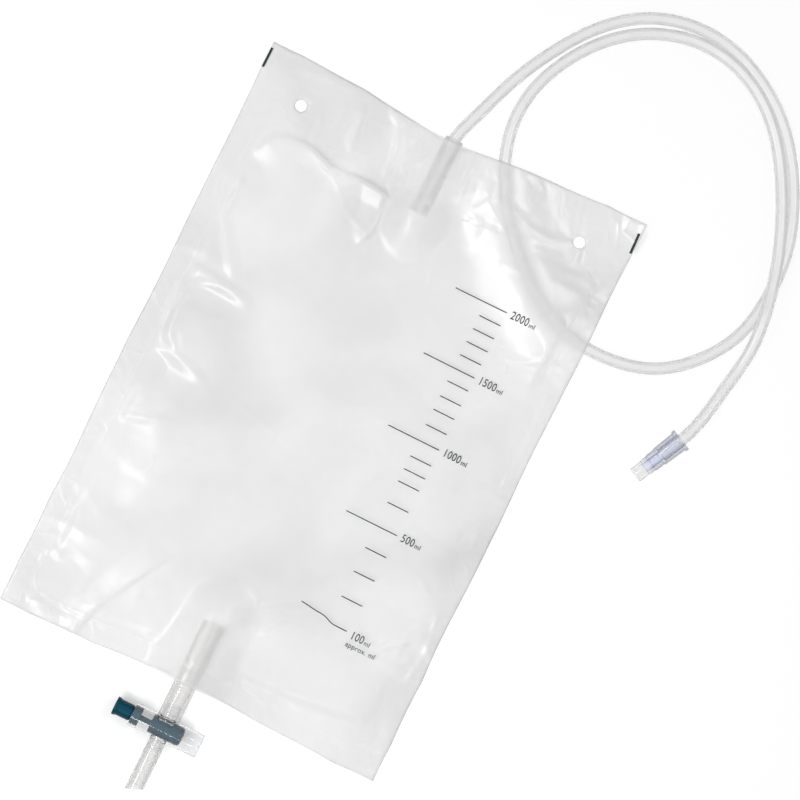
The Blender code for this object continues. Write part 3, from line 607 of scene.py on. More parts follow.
def swept_pipe(name, path, outer, inner, sides):
    """A hollow pipe along a path: rings p + r * (cos a * s + sin a * n) with s = t x z and
    n = s x t, the outer wall from end to end, then the inner wall back. The map is (a, share)."""
    tangent = np.gradient(path, axis=0)
    tangent /= np.linalg.norm(tangent, axis=1, keepdims=True)
    across = np.cross(tangent, (0.0, 0.0, 1.0))
    across /= np.linalg.norm(across, axis=1, keepdims=True)
    upward = np.cross(across, tangent)
    angle = np.arange(sides) * math.tau / sides
    ring = (np.cos(angle)[None, :, None] * across[:, None]
            + np.sin(angle)[None, :, None] * upward[:, None])
    walls = np.concatenate([path[:, None] + outer * ring, (path[:, None] + inner * ring)[::-1]])
    share = np.linspace(0.0, 1.0, len(path))
    uv = round_map(angle, np.concatenate([share, share[::-1]]))
    return outward(grid_mesh(name, walls, wrap_rows=True, wrap_columns=True, uv=uv), PIPE_SHARP)


def add_node(tree, kind, inputs=None, **settings):
    """Add a shader node, with its settings and its inputs; a socket given as an input is linked."""
    made = tree.nodes.new(kind)
    for name, value in settings.items():
        setattr(made, name, value)
    for key, value in (inputs or {}).items():
        if isinstance(value, bpy.types.NodeSocket):
            tree.links.new(value, made.inputs[key])
        else:
            made.inputs[key].default_value = value
    return made


def math_node(tree, operation, *values):
    """The result of one Math node."""
    return add_node(tree, "ShaderNodeMath", dict(enumerate(values)), operation=operation).outputs[0]


def new_group(name, inputs, outputs):
    """An empty shader group with float or vector sockets, and its input and output nodes."""
    group = bpy.data.node_groups.new(name, "ShaderNodeTree")
    first, last = group.nodes.new("NodeGroupInput"), group.nodes.new("NodeGroupOutput")
    for label, kind, value in inputs:
        socket = group.interface.new_socket(name=label, in_out="INPUT", socket_type=kind)
        if value is not None:
            socket.default_value = value
    for label, kind in outputs:
        group.interface.new_socket(name=label, in_out="OUTPUT", socket_type=kind)
    return group, first.outputs, last.inputs


def place_group(tree, name, inputs):
    """Place a shared group in a material, with its own values."""
    return add_node(tree, "ShaderNodeGroup", inputs, node_tree=bpy.data.node_groups[name]).outputs


def noise(tree, vector, scale, detail, roughness=0.5, distortion=0.0):
    """The value of one Noise texture."""
    return add_node(tree, "ShaderNodeTexNoise", {
        "Vector": vector, "Scale": scale, "Detail": detail, "Roughness": roughness,
        "Distortion": distortion}).outputs[0]


def blend(tree, factor, first, second):
    """The colour that lies the factor's share of the way from the first to the second."""
    made = add_node(tree, "ShaderNodeMix", {
        "Factor": factor, "A": first, "B": second}, data_type="RGBA")
    return made.outputs["Result"]


def plan_map(tree):
    """A piece's own map."""
    return add_node(tree, "ShaderNodeUVMap", uv_map="plan").outputs[0]


def make_film_relief():
    """Group: height of a thin film's relief, soft billows b and, on its welds w, small sharp
    crumples, b - w * |c - 0.5|, and how cloudy it is in broad spots s, 2.4 s + 0.5 b - 0.95,
    which sets the film's haze and its painted light and shade."""
    group, given, result = new_group(
        "film_relief",
        [("Vector", "NodeSocketVector", None), ("Weld", "NodeSocketFloat", 0.0),
         ("Crumple", "NodeSocketFloat", 1.0)],
        [("Height", "NodeSocketFloat"), ("Haze And Shade", "NodeSocketFloat")])
    billow = noise(group, given["Vector"], 34.0, 2.0, 0.4)
    crumple = noise(group, given["Vector"], 88.0, 1.0, 0.4, 0.5)
    broad = noise(group, given["Vector"], 15.0, 1.0, 0.35, 0.9)
    away = math_node(group, "ABSOLUTE", math_node(group, "SUBTRACT", crumple, 0.5))
    sharp = math_node(group, "MULTIPLY", away, math_node(
        group, "MULTIPLY", given["Weld"], given["Crumple"]))
    group.links.new(math_node(group, "SUBTRACT", billow, sharp), result["Height"])
    group.links.new(math_node(group, "MULTIPLY_ADD", broad, 2.4, math_node(
        group, "MULTIPLY_ADD", billow, 0.5, -0.95)), result["Haze And Shade"])


def make_handling():
    """Group: fine rubs from handling, as a change of roughness."""
    group, given, result = new_group(
        "handling",
        [("Vector", "NodeSocketVector", None), ("Base", "NodeSocketFloat", 0.1),
         ("Change", "NodeSocketFloat", 0.1)],
        [("Roughness", "NodeSocketFloat")])
    rubs = noise(group, given["Vector"], 45.0, 3.0, 0.65)
    rough = math_node(group, "MULTIPLY_ADD", rubs, given["Change"], given["Base"])
    group.links.new(rough, result["Roughness"])


def make_weld_lines():
    """Group: the pressed line round the pouch, from a film's plan map.

    The distance to a rounded rectangle is length(max(q, 0)) - r with q = |p| - half size + r, and
    two fine beads 3 mm apart follow it. The weld mask rises from 0 to 1 over 1.2 mm of distance.
    """
    group, given, result = new_group(
        "weld_lines",
        [("Plan", "NodeSocketVector", None), ("Side Weld", "NodeSocketFloat", 0.012),
         ("Header", "NodeSocketFloat", 0.036)],
        [("Height", "NodeSocketFloat"), ("Weld", "NodeSocketFloat")])
    corner = 0.008
    bead_places = (0.0004, 0.0034)
    weld_edge = 0.0012
    plan = add_node(group, "ShaderNodeSeparateXYZ", {0: given["Plan"]})
    across = math_node(group, "MULTIPLY_ADD", plan.outputs[0], 2 * HALF_WIDTH, -HALF_WIDTH)
    along = math_node(group, "MULTIPLY", plan.outputs[1], BAG_HEIGHT)
    half_x = math_node(group, "SUBTRACT", HALF_WIDTH - corner, given["Side Weld"])
    welds = math_node(group, "ADD", given["Side Weld"], given["Header"])
    half_y = math_node(group, "MULTIPLY_ADD", welds, -0.5, BAG_HEIGHT / 2 - corner)
    centre = math_node(group, "MULTIPLY_ADD", math_node(
        group, "SUBTRACT", given["Side Weld"], given["Header"]), 0.5, BAG_HEIGHT / 2)
    qx = math_node(group, "SUBTRACT", math_node(group, "ABSOLUTE", across), half_x)
    qy = math_node(group, "SUBTRACT", math_node(
        group, "ABSOLUTE", math_node(group, "SUBTRACT", along, centre)), half_y)
    held = add_node(group, "ShaderNodeCombineXYZ", {
        0: math_node(group, "MAXIMUM", qx, 0.0), 1: math_node(group, "MAXIMUM", qy, 0.0)})
    outside = add_node(group, "ShaderNodeVectorMath", {0: held.outputs[0]}, operation="LENGTH")
    inside = math_node(group, "MINIMUM", math_node(group, "MAXIMUM", qx, qy), 0.0)
    distance = math_node(group, "SUBTRACT", math_node(
        group, "ADD", outside.outputs["Value"], inside), corner)
    first, second = [bead(group, distance, place) for place in bead_places]
    pressed = noise(group, given["Plan"], 14.0, 2.0)
    both = math_node(group, "MULTIPLY_ADD", second, -0.6, first)
    group.links.new(math_node(group, "MULTIPLY", both, pressed), result["Height"])
    rise = math_node(group, "MULTIPLY_ADD", distance, 1.0 / weld_edge, 0.5)
    group.links.new(add_node(group, "ShaderNodeClamp", {"Value": rise}).outputs[0], result["Weld"])


def bead(group, distance, place):
    """One soft bead: 1 - |d - place| / 1.1 mm, held at 0."""
    half_width = 0.0011
    away = math_node(group, "ABSOLUTE", math_node(group, "SUBTRACT", distance, place))
    height = math_node(group, "MULTIPLY_ADD", away, -1.0 / half_width, 1.0)
    return math_node(group, "MAXIMUM", height, 0.0)


def make_flow_lines():
    """Group: drawn lines along an extruded or moulded piece, from its map, stretched lengthwise."""
    group, given, result = new_group(
        "flow_lines",
        [("Map", "NodeSocketVector", None), ("Around", "NodeSocketFloat", 30.0),
         ("Along", "NodeSocketFloat", 3.0)],
        [("Height", "NodeSocketFloat")])
    turn_radius = 0.16
    parts = add_node(group, "ShaderNodeSeparateXYZ", {0: given["Map"]})
    turn = math_node(group, "MULTIPLY", parts.outputs[0], math.tau)
    wide = math_node(group, "MULTIPLY", given["Around"], turn_radius)
    stretched = add_node(group, "ShaderNodeCombineXYZ", {
        0: math_node(group, "MULTIPLY", math_node(group, "COSINE", turn), wide),
        1: math_node(group, "MULTIPLY", math_node(group, "SINE", turn), wide),
        2: math_node(group, "MULTIPLY", parts.outputs[1], given["Along"])})
    group.links.new(noise(group, stretched.outputs[0], 1.0, 3.0, 0.6), result["Height"])


def let_light_through(tree, shader, shade, one_sided=False):
    """Lamps and bounced light pass straight through and lose only the shade at each surface. So
    does the view through the inner faces of a one sided wall."""
    path = add_node(tree, "ShaderNodeLightPath")
    passing = math_node(
        tree, "MAXIMUM", path.outputs["Is Shadow Ray"], path.outputs["Is Diffuse Ray"])
    if one_sided:
        behind = add_node(tree, "ShaderNodeNewGeometry").outputs["Backfacing"]
        passing = math_node(tree, "MAXIMUM", passing, behind)
    clear = add_node(tree, "ShaderNodeBsdfTransparent", {"Color": (*[1.0 - shade] * 3, 1.0)})
    mix = add_node(tree, "ShaderNodeMixShader", {
        0: passing, 1: shader.outputs[0], 2: clear.outputs[0]})
    tree.links.new(mix.outputs[0], tree.nodes["Material Output"].inputs["Surface"])


def new_material(name):
    """A material with its node tree, Principled shader and output."""
    material = bpy.data.materials.new(name)
    material.use_nodes = True
    return material, material.node_tree, material.node_tree.nodes["Principled BSDF"]


def worn_material(name, rough, change):
    """A material whose roughness shows handling: also gives the place on the piece."""
    material, tree, shader = new_material(name)
    place = add_node(tree, "ShaderNodeTexCoord").outputs["Object"]
    worn = place_group(tree, "handling", {"Vector": place, "Base": rough, "Change": change})
    tree.links.new(worn["Roughness"], shader.inputs["Roughness"])
    return material, tree, shader, place


def clear_plastic(name, colour, glass, rough, shade, index, rim, height=None, strength=0.0,
                  reach=0.3):
    """A clear plastic: glass with some haze and handled roughness, its colour falling to rim * colour
    where the wall is seen edge on, partly the longer way through the plastic and partly painted
    shade for dark edge lines. The bump's height is a function from the tree to a socket."""
    depth = 0.0002
    material, tree, shader, _ = worn_material(name, rough, 0.6 * rough)
    # Painted shade: the base colour darkens towards rim * colour where the wall is seen edge on
    edge = add_node(tree, "ShaderNodeLayerWeight", {"Blend": reach}).outputs["Facing"]
    deep = [rim * value for value in colour]
    edge_shaded_tint = blend(tree, edge, (*colour, 1.0), (*deep, 1.0))
    tree.links.new(edge_shaded_tint, shader.inputs["Base Color"])
    shader.inputs["Transmission Weight"].default_value = glass
    shader.inputs["IOR"].default_value = index
    let_light_through(tree, shader, shade)
    if height is not None:
        bump = add_node(tree, "ShaderNodeBump", {
            "Height": height(tree), "Strength": strength, "Distance": depth})
        tree.links.new(bump.outputs[0], shader.inputs["Normal"])
    return material


def film_material(name, films, colour, cover, rough, shade, crumple, depth):
    """A welded film: mostly see-through, hazier in soft clouds, whose colour those clouds also make
    lighter and darker as painted light and shade of soft folds, hazier too where it tilts, with soft
    billows, crumpled welds and pressed weld lines in its bump."""
    weld_height = 0.16
    painted_light_tone, painted_cloud_shade = 1.08, -0.11
    clear_haze, cloud_haze, tilt_haze = 0.68, 0.55, 0.25
    material, tree, shader, place = worn_material(name, rough, 0.6 * rough)
    weld = place_group(tree, "weld_lines", {
        "Plan": plan_map(tree), "Side Weld": films.side_seam, "Header": films.header})
    relief = place_group(tree, "film_relief", {
        "Vector": place, "Weld": weld["Weld"], "Crumple": crumple})
    height = math_node(tree, "MULTIPLY_ADD", weld["Height"], weld_height, relief["Height"])
    bump = add_node(tree, "ShaderNodeBump", {"Height": height, "Distance": depth})
    tree.links.new(bump.outputs[0], shader.inputs["Normal"])
    # Painted light and shade: the colour is scaled by 1.08 - 0.11 * cloud, standing in for lit and
    # shaded folds
    shade_scale = math_node(tree, "MULTIPLY_ADD", relief["Haze And Shade"], painted_cloud_shade, painted_light_tone)
    painted_shade_colour = add_node(tree, "ShaderNodeVectorMath", {0: colour, "Scale": shade_scale}, operation="SCALE")
    tree.links.new(painted_shade_colour.outputs[0], shader.inputs["Base Color"])
    shader.inputs["IOR"].default_value = 1.6
    shader.inputs["Specular IOR Level"].default_value = 0.65
    tilt = add_node(tree, "ShaderNodeLayerWeight", {"Blend": 0.5, "Normal": bump.outputs[0]})
    haze = math_node(
        tree, "MULTIPLY_ADD", relief["Haze And Shade"], cloud_haze * cover, clear_haze * cover)
    tilted = math_node(tree, "MULTIPLY_ADD", tilt.outputs["Facing"], tilt_haze, haze)
    tree.links.new(tilted, shader.inputs["Alpha"])
    let_light_through(tree, shader, shade, one_sided=True)
    return material


def sleeve_material(name):
    """The return valve's thin, soft film, all but invisible inside the pouch."""
    material, tree, shader, _ = worn_material(name, 0.02, 0.05)
    shader.inputs["Base Color"].default_value = (1.0, 1.0, 1.0, 1.0)
    shader.inputs["Transmission Weight"].default_value = 1.0
    shader.inputs["IOR"].default_value = 1.02
    let_light_through(tree, shader, 0.005)
    return material


def ink_material(name, colour):
    """Screen printed ink: slightly uneven cover and a soft sheen."""
    material, tree, shader, place = worn_material(name, 0.38, 0.2)
    thin = [min(1.0, 2.2 * value + 0.02) for value in colour]
    ink = blend(tree, noise(tree, place, 900.0, 3.0, 0.6), (*colour, 1.0), (*thin, 1.0))
    tree.links.new(ink, shader.inputs["Base Color"])
    return material


def lines_along(tree):
    """Drawn lines along a tube, as a bump height."""
    given = {"Map": plan_map(tree), "Around": 9.0, "Along": 22.0}
    return place_group(tree, "flow_lines", given)["Height"]


def moulded(tree):
    """The faint ripple of a moulded surface, as a bump height."""
    given = {"Map": plan_map(tree), "Around": 6.0, "Along": 7.0}
    return place_group(tree, "flow_lines", given)["Height"]


def make_films(films):
    """The two films on even grids, each with its wall and the hanger holes."""
    front = film_material("clear_film", films, films.front_colour, cover=0.42, rough=0.19,
                          shade=0.02, crumple=1.1, depth=0.0012)
    back = film_material("milky_film", films, films.back_colour, cover=0.60, rough=0.20,
                         shade=0.03, crumple=0.8, depth=0.0009)
    made = {}
    for name, step, material, node in (("front_film", films.front_step, front, "front_sheet"),
                                       ("back_film", films.back_step, back, "back_sheet")):
        in_front = name == "front_film"
        mesh = film_mesh(films, name, step, in_front)
        made[name] = piece(name, mesh, "bag", name, material, [node],
                           shadow=not in_front)
        add_wall(made[name], films.wall, 1.0 if in_front else -1.0)


def film_mesh(films, name, step, front):
    """One film: an even grid over the flat bag, drawn in and raised by the height functions.

    A cell whose middle lies in a hanger hole is left out, and the hole's rim points are moved
    onto its circle.
    """
    columns = np.linspace(-HALF_WIDTH, HALF_WIDTH, round(2 * HALF_WIDTH / step) + 1)
    rows = np.linspace(FOOT_Y, TOP_Y, round(BAG_HEIGHT / step) + 1)
    flat_x, flat_y = np.meshgrid(columns, rows)
    x, y = edge_waver(flat_x, drawn_in(flat_x, flat_y))
    keep = np.ones((len(rows) - 1, len(columns) - 1), bool)
    for side in (-1, 1):
        dx = x - side * films.hanger_x
        dy = y - (TOP_Y - films.hanger_drop)
        mid_x = (dx[:-1, :-1] + dx[1:, 1:]) / 2
        mid_y = (dy[:-1, :-1] + dy[1:, 1:]) / 2
        hole = np.hypot(mid_x, mid_y) < films.hanger_radius
        keep &= ~hole
        touching = np.zeros(x.shape, int)
        for i, j in ((0, 0), (0, 1), (1, 0), (1, 1)):
            touching[i:i + hole.shape[0], j:j + hole.shape[1]] += hole
        rim = (touching > 0) & (touching < 4)
        scale = films.hanger_radius / np.maximum(np.hypot(dx, dy), 1e-9)
        x = np.where(rim, side * films.hanger_x + dx * scale, x)
        y = np.where(rim, TOP_Y - films.hanger_drop + dy * scale, y)
    z = shared_lift(films, x, y, flat_x, flat_y)
    if front:
        z = z + pouch_gap(films, x, y, flat_x, flat_y)
    uv = np.stack([flat_x / (2 * HALF_WIDTH) + 0.5, (flat_y - FOOT_Y) / BAG_HEIGHT], axis=-1)
    return grid_mesh(name, np.stack([x, y, z], axis=-1), keep=keep, uv=uv)


def on_film(films, x, y):
    """Height of the print's underside: the front film's outer face and a small gap."""
    lift = shared_lift(films, x, y, x, y) + pouch_gap(films, x, y, x, y)
    return lift + films.wall + INK_GAP


def print_strip(films, corners, width):
    """A printed line: stations along a smooth line, each with two points half a width to the
    left and right, all laid on the film."""
    stations = 48
    line = smooth_route(corners, stations)
    tangent = np.gradient(line, axis=0)
    tangent /= np.linalg.norm(tangent, axis=1, keepdims=True)
    left = np.stack([-tangent[:, 1], tangent[:, 0]], axis=1) * width / 2
    plan = np.stack([line + left, line - left], axis=1)
    height = on_film(films, plan[..., 0], plan[..., 1])
    return np.concatenate([plan, height[..., None]], axis=-1)


def joined(name, meshes):
    """Several meshes as one."""
    body = bmesh.new()
    for mesh in meshes:
        body.from_mesh(mesh)
        bpy.data.meshes.remove(mesh)
    whole = bpy.data.meshes.new(name)
    body.to_mesh(whole)
    body.free()
    return whole


def scale_lines():
    """The scale's lines in millimetres, across and below the top edge line, and how far down each
    volume stands.

    A long line stands at every 500 ml, and four short ones between two of them, closer together
    near the top, where the lying pouch is wider. The line for 100 ml bends.
    """
    long_left, short_left, right = 33.3, 50.7, 62.8
    marks = {
        2000: (73.4, (80.9, 88.4, 95.9, 103.5)),
        1500: (111.0, (118.6, 127.2, 135.0, 143.8)),
        1000: (152.7, (162.0, 169.4, 176.4, 188.8)),
        500: (202.1, (214.9, 228.6, 243.0)),
    }
    lines = []
    for place, shorter in marks.values():
        lines.append([(long_left, place), (right, place + 0.2)])
        lines.extend([(short_left, down), (right, down + 0.1)] for down in shorter)
    lines.append([(33.3, 254.5), (38.0, 255.05), (43.0, 255.65), (47.6, 256.2), (50.0, 257.1),
                  (52.4, 258.0), (55.0, 258.25), (58.0, 258.3), (61.3, 258.3)])
    return lines, {**{volume: place for volume, (place, _) in marks.items()}, 100: 258.8}


def label_mesh(films, words, height, narrow, x, y):
    """A printed word: its flat outline scaled to the height, narrowed, and laid on the film."""
    capital_share = 0.70
    curve = bpy.data.curves.new(words, "FONT")
    curve.body = words
    curve.size = height / capital_share
    curve.offset = 0.00004
    curve.space_character = 1.06
    curve.resolution_u = 4
    letters = bpy.data.objects.new(words, curve)
    mesh = bpy.data.meshes.new_from_object(letters)
    bpy.data.objects.remove(letters)
    bpy.data.curves.remove(curve)
    flat = np.zeros(len(mesh.vertices) * 3, np.float32)
    mesh.vertices.foreach_get("co", flat)
    flat = flat.reshape(-1, 3).astype(float)
    px = x + flat[:, 0] * narrow
    py = y + flat[:, 1]
    laid = np.stack([px, py, on_film(films, px, py)], axis=1)
    mesh.vertices.foreach_set("co", laid.astype(np.float32).ravel())
    mesh.update()
    return mesh


def scale_labels(films, ink, places):
    """The volumes with their unit, beside their lines, and the small note below the last one."""
    half_digit, narrow = 0.48, 0.78
    unit_share, unit_narrow, unit_gap = 0.95, 0.95, 0.0006
    note_narrow, note_drop = 0.98, 6.6
    left, last_left, note_left = 65.3 * MM, 64.0 * MM, 63.5 * MM
    labels = []
    for volume, down in places.items():
        base = TOP_Y - down * MM - ink.digit * half_digit
        start = left if volume > 100 else last_left
        number = label_mesh(films, str(volume), ink.digit, narrow, start, base)
        end = max(vert.co.x for vert in number.vertices) + unit_gap
        unit = label_mesh(films, "ml", ink.small * unit_share, unit_narrow, end, base)
        labels.extend([number, unit])
    note = TOP_Y - (places[100] + note_drop) * MM
    labels.append(label_mesh(films, "approx. ml", ink.small, note_narrow, note_left, note))
    return labels


def strips(films, lines, width):
    """A printed strip for each line, whose points are in millimetres across and below the top."""
    routes = [[(px * MM, TOP_Y - down * MM) for px, down in line] for line in lines]
    return [grid_mesh("strip", print_strip(films, route, width)) for route in routes]


def make_print(films, ink):
    """The volume scale and the two corner marks, as thin layers of ink on the front film."""
    mark_width = 1.3 * MM
    scale_ink = ink_material("scale_ink", ink.ink)
    mark_ink = ink_material("mark_ink", ink.mark)
    lines, places = scale_lines()
    corner_lines = (((-107.1, 3.6), (-107.3, 14.6)), ((106.2, 6.6), (106.7, 17.6)))
    for name, meshes, material in (
            ("scale_lines", strips(films, lines, ink.line), scale_ink),
            ("scale_numbers", scale_labels(films, ink, places), scale_ink),
            ("corner_marks", strips(films, corner_lines, mark_width), mark_ink)):
        add_wall(piece(name, joined(name, meshes), "bag", None, material), INK_WALL)


def make_port(tube):
    """The port with its socket and bore, and the lay-flat sleeve of the return valve."""
    soft = clear_plastic("port_plastic", tube.port_colour, glass=0.65, rough=0.16, shade=0.05,
                         index=1.38, height=moulded, strength=0.2, rim=0.70)
    film = sleeve_material("valve_film")
    outer = (PORT_HIGH.x - PORT_LOW.x) / 2
    length = PORT_HIGH.y - PORT_LOW.y
    socket = TUBE_R + CLEARANCE
    corners = [(outer, length), (outer, 0.0), (tube.port_bore / 2, 0.0),
               (tube.port_bore / 2, length - SOCKET_DEPTH), (socket, length - SOCKET_DEPTH),
               (socket, length)]
    origin = (INLET_X, PORT_LOW.y, PORT_Z)
    mesh = turned_mesh("inlet_port", filleted(corners, 0.0004), origin, (0, 1, 0))
    piece("port_sleeve", mesh, "bag", "soft_plastic", soft, ["inlet_port"], shadow=False)
    sleeve = piece("valve_sleeve", valve_mesh(), "bag", "valve_film", film, ["return_valve"],
                   shadow=False)
    add_wall(sleeve, VALVE_WALL)


def valve_mesh():
    """The sleeve: at each station a slot of constant girth, a round whose halves are moved apart
    by tanh(4 cos a) times what the girth allows, going from the port's round to a thin slit."""
    rings, sides = 80, 48
    throat = 0.018
    parting = 4
    flat_half = 0.00035
    round_r = (PORT_HIGH.x - PORT_LOW.x) / 2 + CLEARANCE
    y = np.linspace(VALVE_HIGH.y, VALVE_LOW.y, rings)[:, None]
    flat = ease((PORT_LOW.y - y) / throat)
    high = round_r + (flat_half - round_r) * flat
    straight = (math.tau * round_r - math.tau * high) / 4
    flat_z = FILM_WALL + CLEARANCE + VALVE_WALL + flat_half
    middle = PORT_Z + (flat_z - PORT_Z) * flat
    angle = (np.arange(sides) + 0.5)[None, :] * math.tau / sides
    x = INLET_X + straight * np.tanh(parting * np.cos(angle)) + high * np.cos(angle)
    z = middle + high * np.sin(angle)
    points = np.stack(np.broadcast_arrays(x, y, z), axis=-1)
    return outward(grid_mesh("return_valve", points, wrap_columns=True))


def connector_place():
    """The middle of the connector's rim and its heading, lying on its rim and its nose."""
    heading = Vector((*CONNECTOR_HEADING, (NOSE_R - RIM_R) / CONNECTOR_LENGTH)).normalized()
    rim = Vector((CONNECTOR_RIM[0], CONNECTOR_RIM[1] + TOP_Y, RIM_R + 2 * FLOOR_GAP))
    return rim, heading


def tube_path():
    """The inlet tube's centreline, from the port's socket to the connector's."""
    rim, heading = connector_place()
    mouth = rim - heading * TUBE_STRAIGHT
    seat = rim + heading * (CONNECTOR_SOCKET - CLEARANCE)
    start = [(INLET_X, PORT_HIGH.y - SOCKET_DEPTH + CLEARANCE, PORT_Z),
             (INLET_X, PORT_HIGH.y, PORT_Z)]
    turns = [(x, y + TOP_Y, z) for x, y, z in OUTER_TURN + UNDER_BAG + INNER_TURN]
    path = smooth_route([*start, *turns, tuple(mouth), tuple(seat)], CORD_STATIONS)
    path[:, 2] = np.maximum(path[:, 2], TUBE_Z)
    return path


def make_connector(tube):
    """The stepped connector: a flared rim, a tapered grip, two ribs and a clear nose."""
    rim, heading = connector_place()
    # Where each stage starts, and its first and last radius
    stages = ((0.0, RIM_R, RIM_R), (0.0020, 0.00555, 0.00520), (0.0146, 0.00482, 0.00480),
              (0.0197, 0.00450, 0.00446), (0.0236, 0.00418, NOSE_R))
    ends = [stage[0] for stage in stages[1:]] + [CONNECTOR_LENGTH]
    corners = []
    for (start, first, last), end in zip(stages, ends):
        corners.extend([(first, start), (last, end)])
    bore = tube.connector_bore / 2
    socket = TUBE_R + CLEARANCE
    draft = 0.0002
    corners.extend([(bore + draft, CONNECTOR_LENGTH), (bore, CONNECTOR_SOCKET),
                    (socket, CONNECTOR_SOCKET), (socket + draft, 0.0)])
    mesh = turned_mesh("connector", filleted(corners, 0.00022), rim, heading, sides=96)
    piece("stepped_connector", mesh, "bag", "connector_plastic", connector_material(tube),
          ["connector"], shadow=False)


def connector_material(tube):
    """Lilac clear plastic that fades to a colourless nose along the piece's map."""
    fade_start, fade_end = 0.62, 0.86
    # rim 0.0 is painted shade: the lilac darkens to black where the wall is seen edge on
    material = clear_plastic(
        "connector_plastic", tube.lilac, glass=0.97, rough=0.02, shade=0.06, index=1.58,
        height=moulded, strength=0.2, rim=0.0, reach=0.64)
    tree = material.node_tree
    base = tree.nodes["Principled BSDF"].inputs["Base Color"]
    along = add_node(tree, "ShaderNodeSeparateXYZ", {0: plan_map(tree)}).outputs[1]
    fade = add_node(tree, "ShaderNodeMapRange", {
        "Value": along, "From Min": fade_start, "From Max": fade_end},
        interpolation_type="SMOOTHSTEP")
    mix = blend(tree, fade.outputs[0], base.links[0].from_socket, (*tube.nose, 1.0))
    tree.links.new(mix, base)
    return material


def make_tube(tube):
    """The inlet tube: a hollow clear cord from the port to the connector."""
    clear = clear_plastic(
        "tube_plastic", tube.tube_colour, glass=0.74, rough=0.14, shade=0.02, index=1.38,
        height=lines_along, strength=0.01, rim=0.70, reach=0.22)
    path = tube_path()
    mesh = swept_pipe("inlet_tube", path, TUBE_R, tube.bore / 2, sides=40)
    cord = piece("inlet_line", mesh, "bag", "tube_plastic", clear, ["inlet_tube"])


def make_drain(tap):
    """The wide drain tube and the spout with its slanted end."""
    soft = clear_plastic("soft_plastic", tap.soft_colour, glass=0.80, rough=0.09, shade=0.03,
                         index=1.35, height=moulded, strength=0.15, rim=0.45, reach=0.20)
    outer = (DRAIN_HIGH.x - DRAIN_LOW.x) / 2
    inner = tap.drain_bore / 2
    length = DRAIN_HIGH.y - DRAIN_LOW.y
    corners = [(outer, length), (outer, 0.0), (inner, 0.0), (inner, length)]
    origin = (OUTLET_X, DRAIN_LOW.y, TAP_Z)
    mesh = turned_mesh("drain", filleted(corners, 0.0003), origin, (0, 1, 0), sides=96)
    piece("drain_pipe", mesh, "bag", "soft_plastic", soft, ["drain_tube"])
    piece("spout", spout_mesh(tap), "bag", "soft_plastic", soft, ["spout_tube"])


def spout_mesh(tap):
    """The spout: rings from its top to a slanted end, whose y is the tip's plus the distance from
    the long side times tan(slant), on the outer wall and then back on the inner one."""
    outer = (SPOUT_HIGH.x - SPOUT_LOW.x) / 2
    rings, sides = 40, 96
    share = ease(np.linspace(0.0, 1.0, rings))
    angle = np.arange(sides) * math.tau / sides
    walls = []
    for radius, way in ((outer, share), (tap.spout_bore / 2, share[::-1])):
        x = OUTLET_X + radius * np.cos(angle)[None, :]
        z = TAP_Z + radius * np.sin(angle)[None, :]
        end = SPOUT_LOW.y + (x - SPOUT_LOW.x) * math.tan(tap.slant)
        y = SPOUT_HIGH.y + (end - SPOUT_HIGH.y) * way[:, None]
        walls.append(np.stack(np.broadcast_arrays(x, y, z), axis=-1))
    uv = round_map(angle, np.concatenate([share, share[::-1]]))
    mesh = grid_mesh("spout", np.concatenate(walls), wrap_rows=True, wrap_columns=True, uv=uv)
    return outward(mesh, SHARP)


def combine(base, tools):
    """Apply exact Booleans to a mesh: a list of (operation, mesh)."""
    thing = bpy.data.objects.new("base", base)
    bpy.context.scene.collection.objects.link(thing)
    helpers = []
    for operation, mesh in tools:
        tool = bpy.data.objects.new("tool", mesh)
        bpy.context.scene.collection.objects.link(tool)
        change = thing.modifiers.new("change", "BOOLEAN")
        change.object = tool
        change.operation = operation
        change.solver = "EXACT"
        helpers.append(tool)
    seen = thing.evaluated_get(bpy.context.evaluated_depsgraph_get())
    result = bpy.data.meshes.new_from_object(seen)
    for helper in [thing, *helpers]:
        bpy.data.objects.remove(helper)
    return outward(result, SHARP)


def rounded_rod(name, radius, start, end, edge, sides=180):
    """A solid rod from start to end with rounded rims, closed at its two poles."""
    run = Vector(end) - Vector(start)
    t = np.linspace(0.0, math.pi / 2, 5)
    rim = np.stack([radius - edge + edge * np.sin(t), edge - edge * np.cos(t)], axis=1)
    foot = np.vstack([[(0.0, 0.0)], rim])
    head = np.stack([foot[::-1, 0], run.length - foot[::-1, 1]], axis=1)
    return turned_mesh(name, np.vstack([foot, head]), start, run, sides, closed=False)


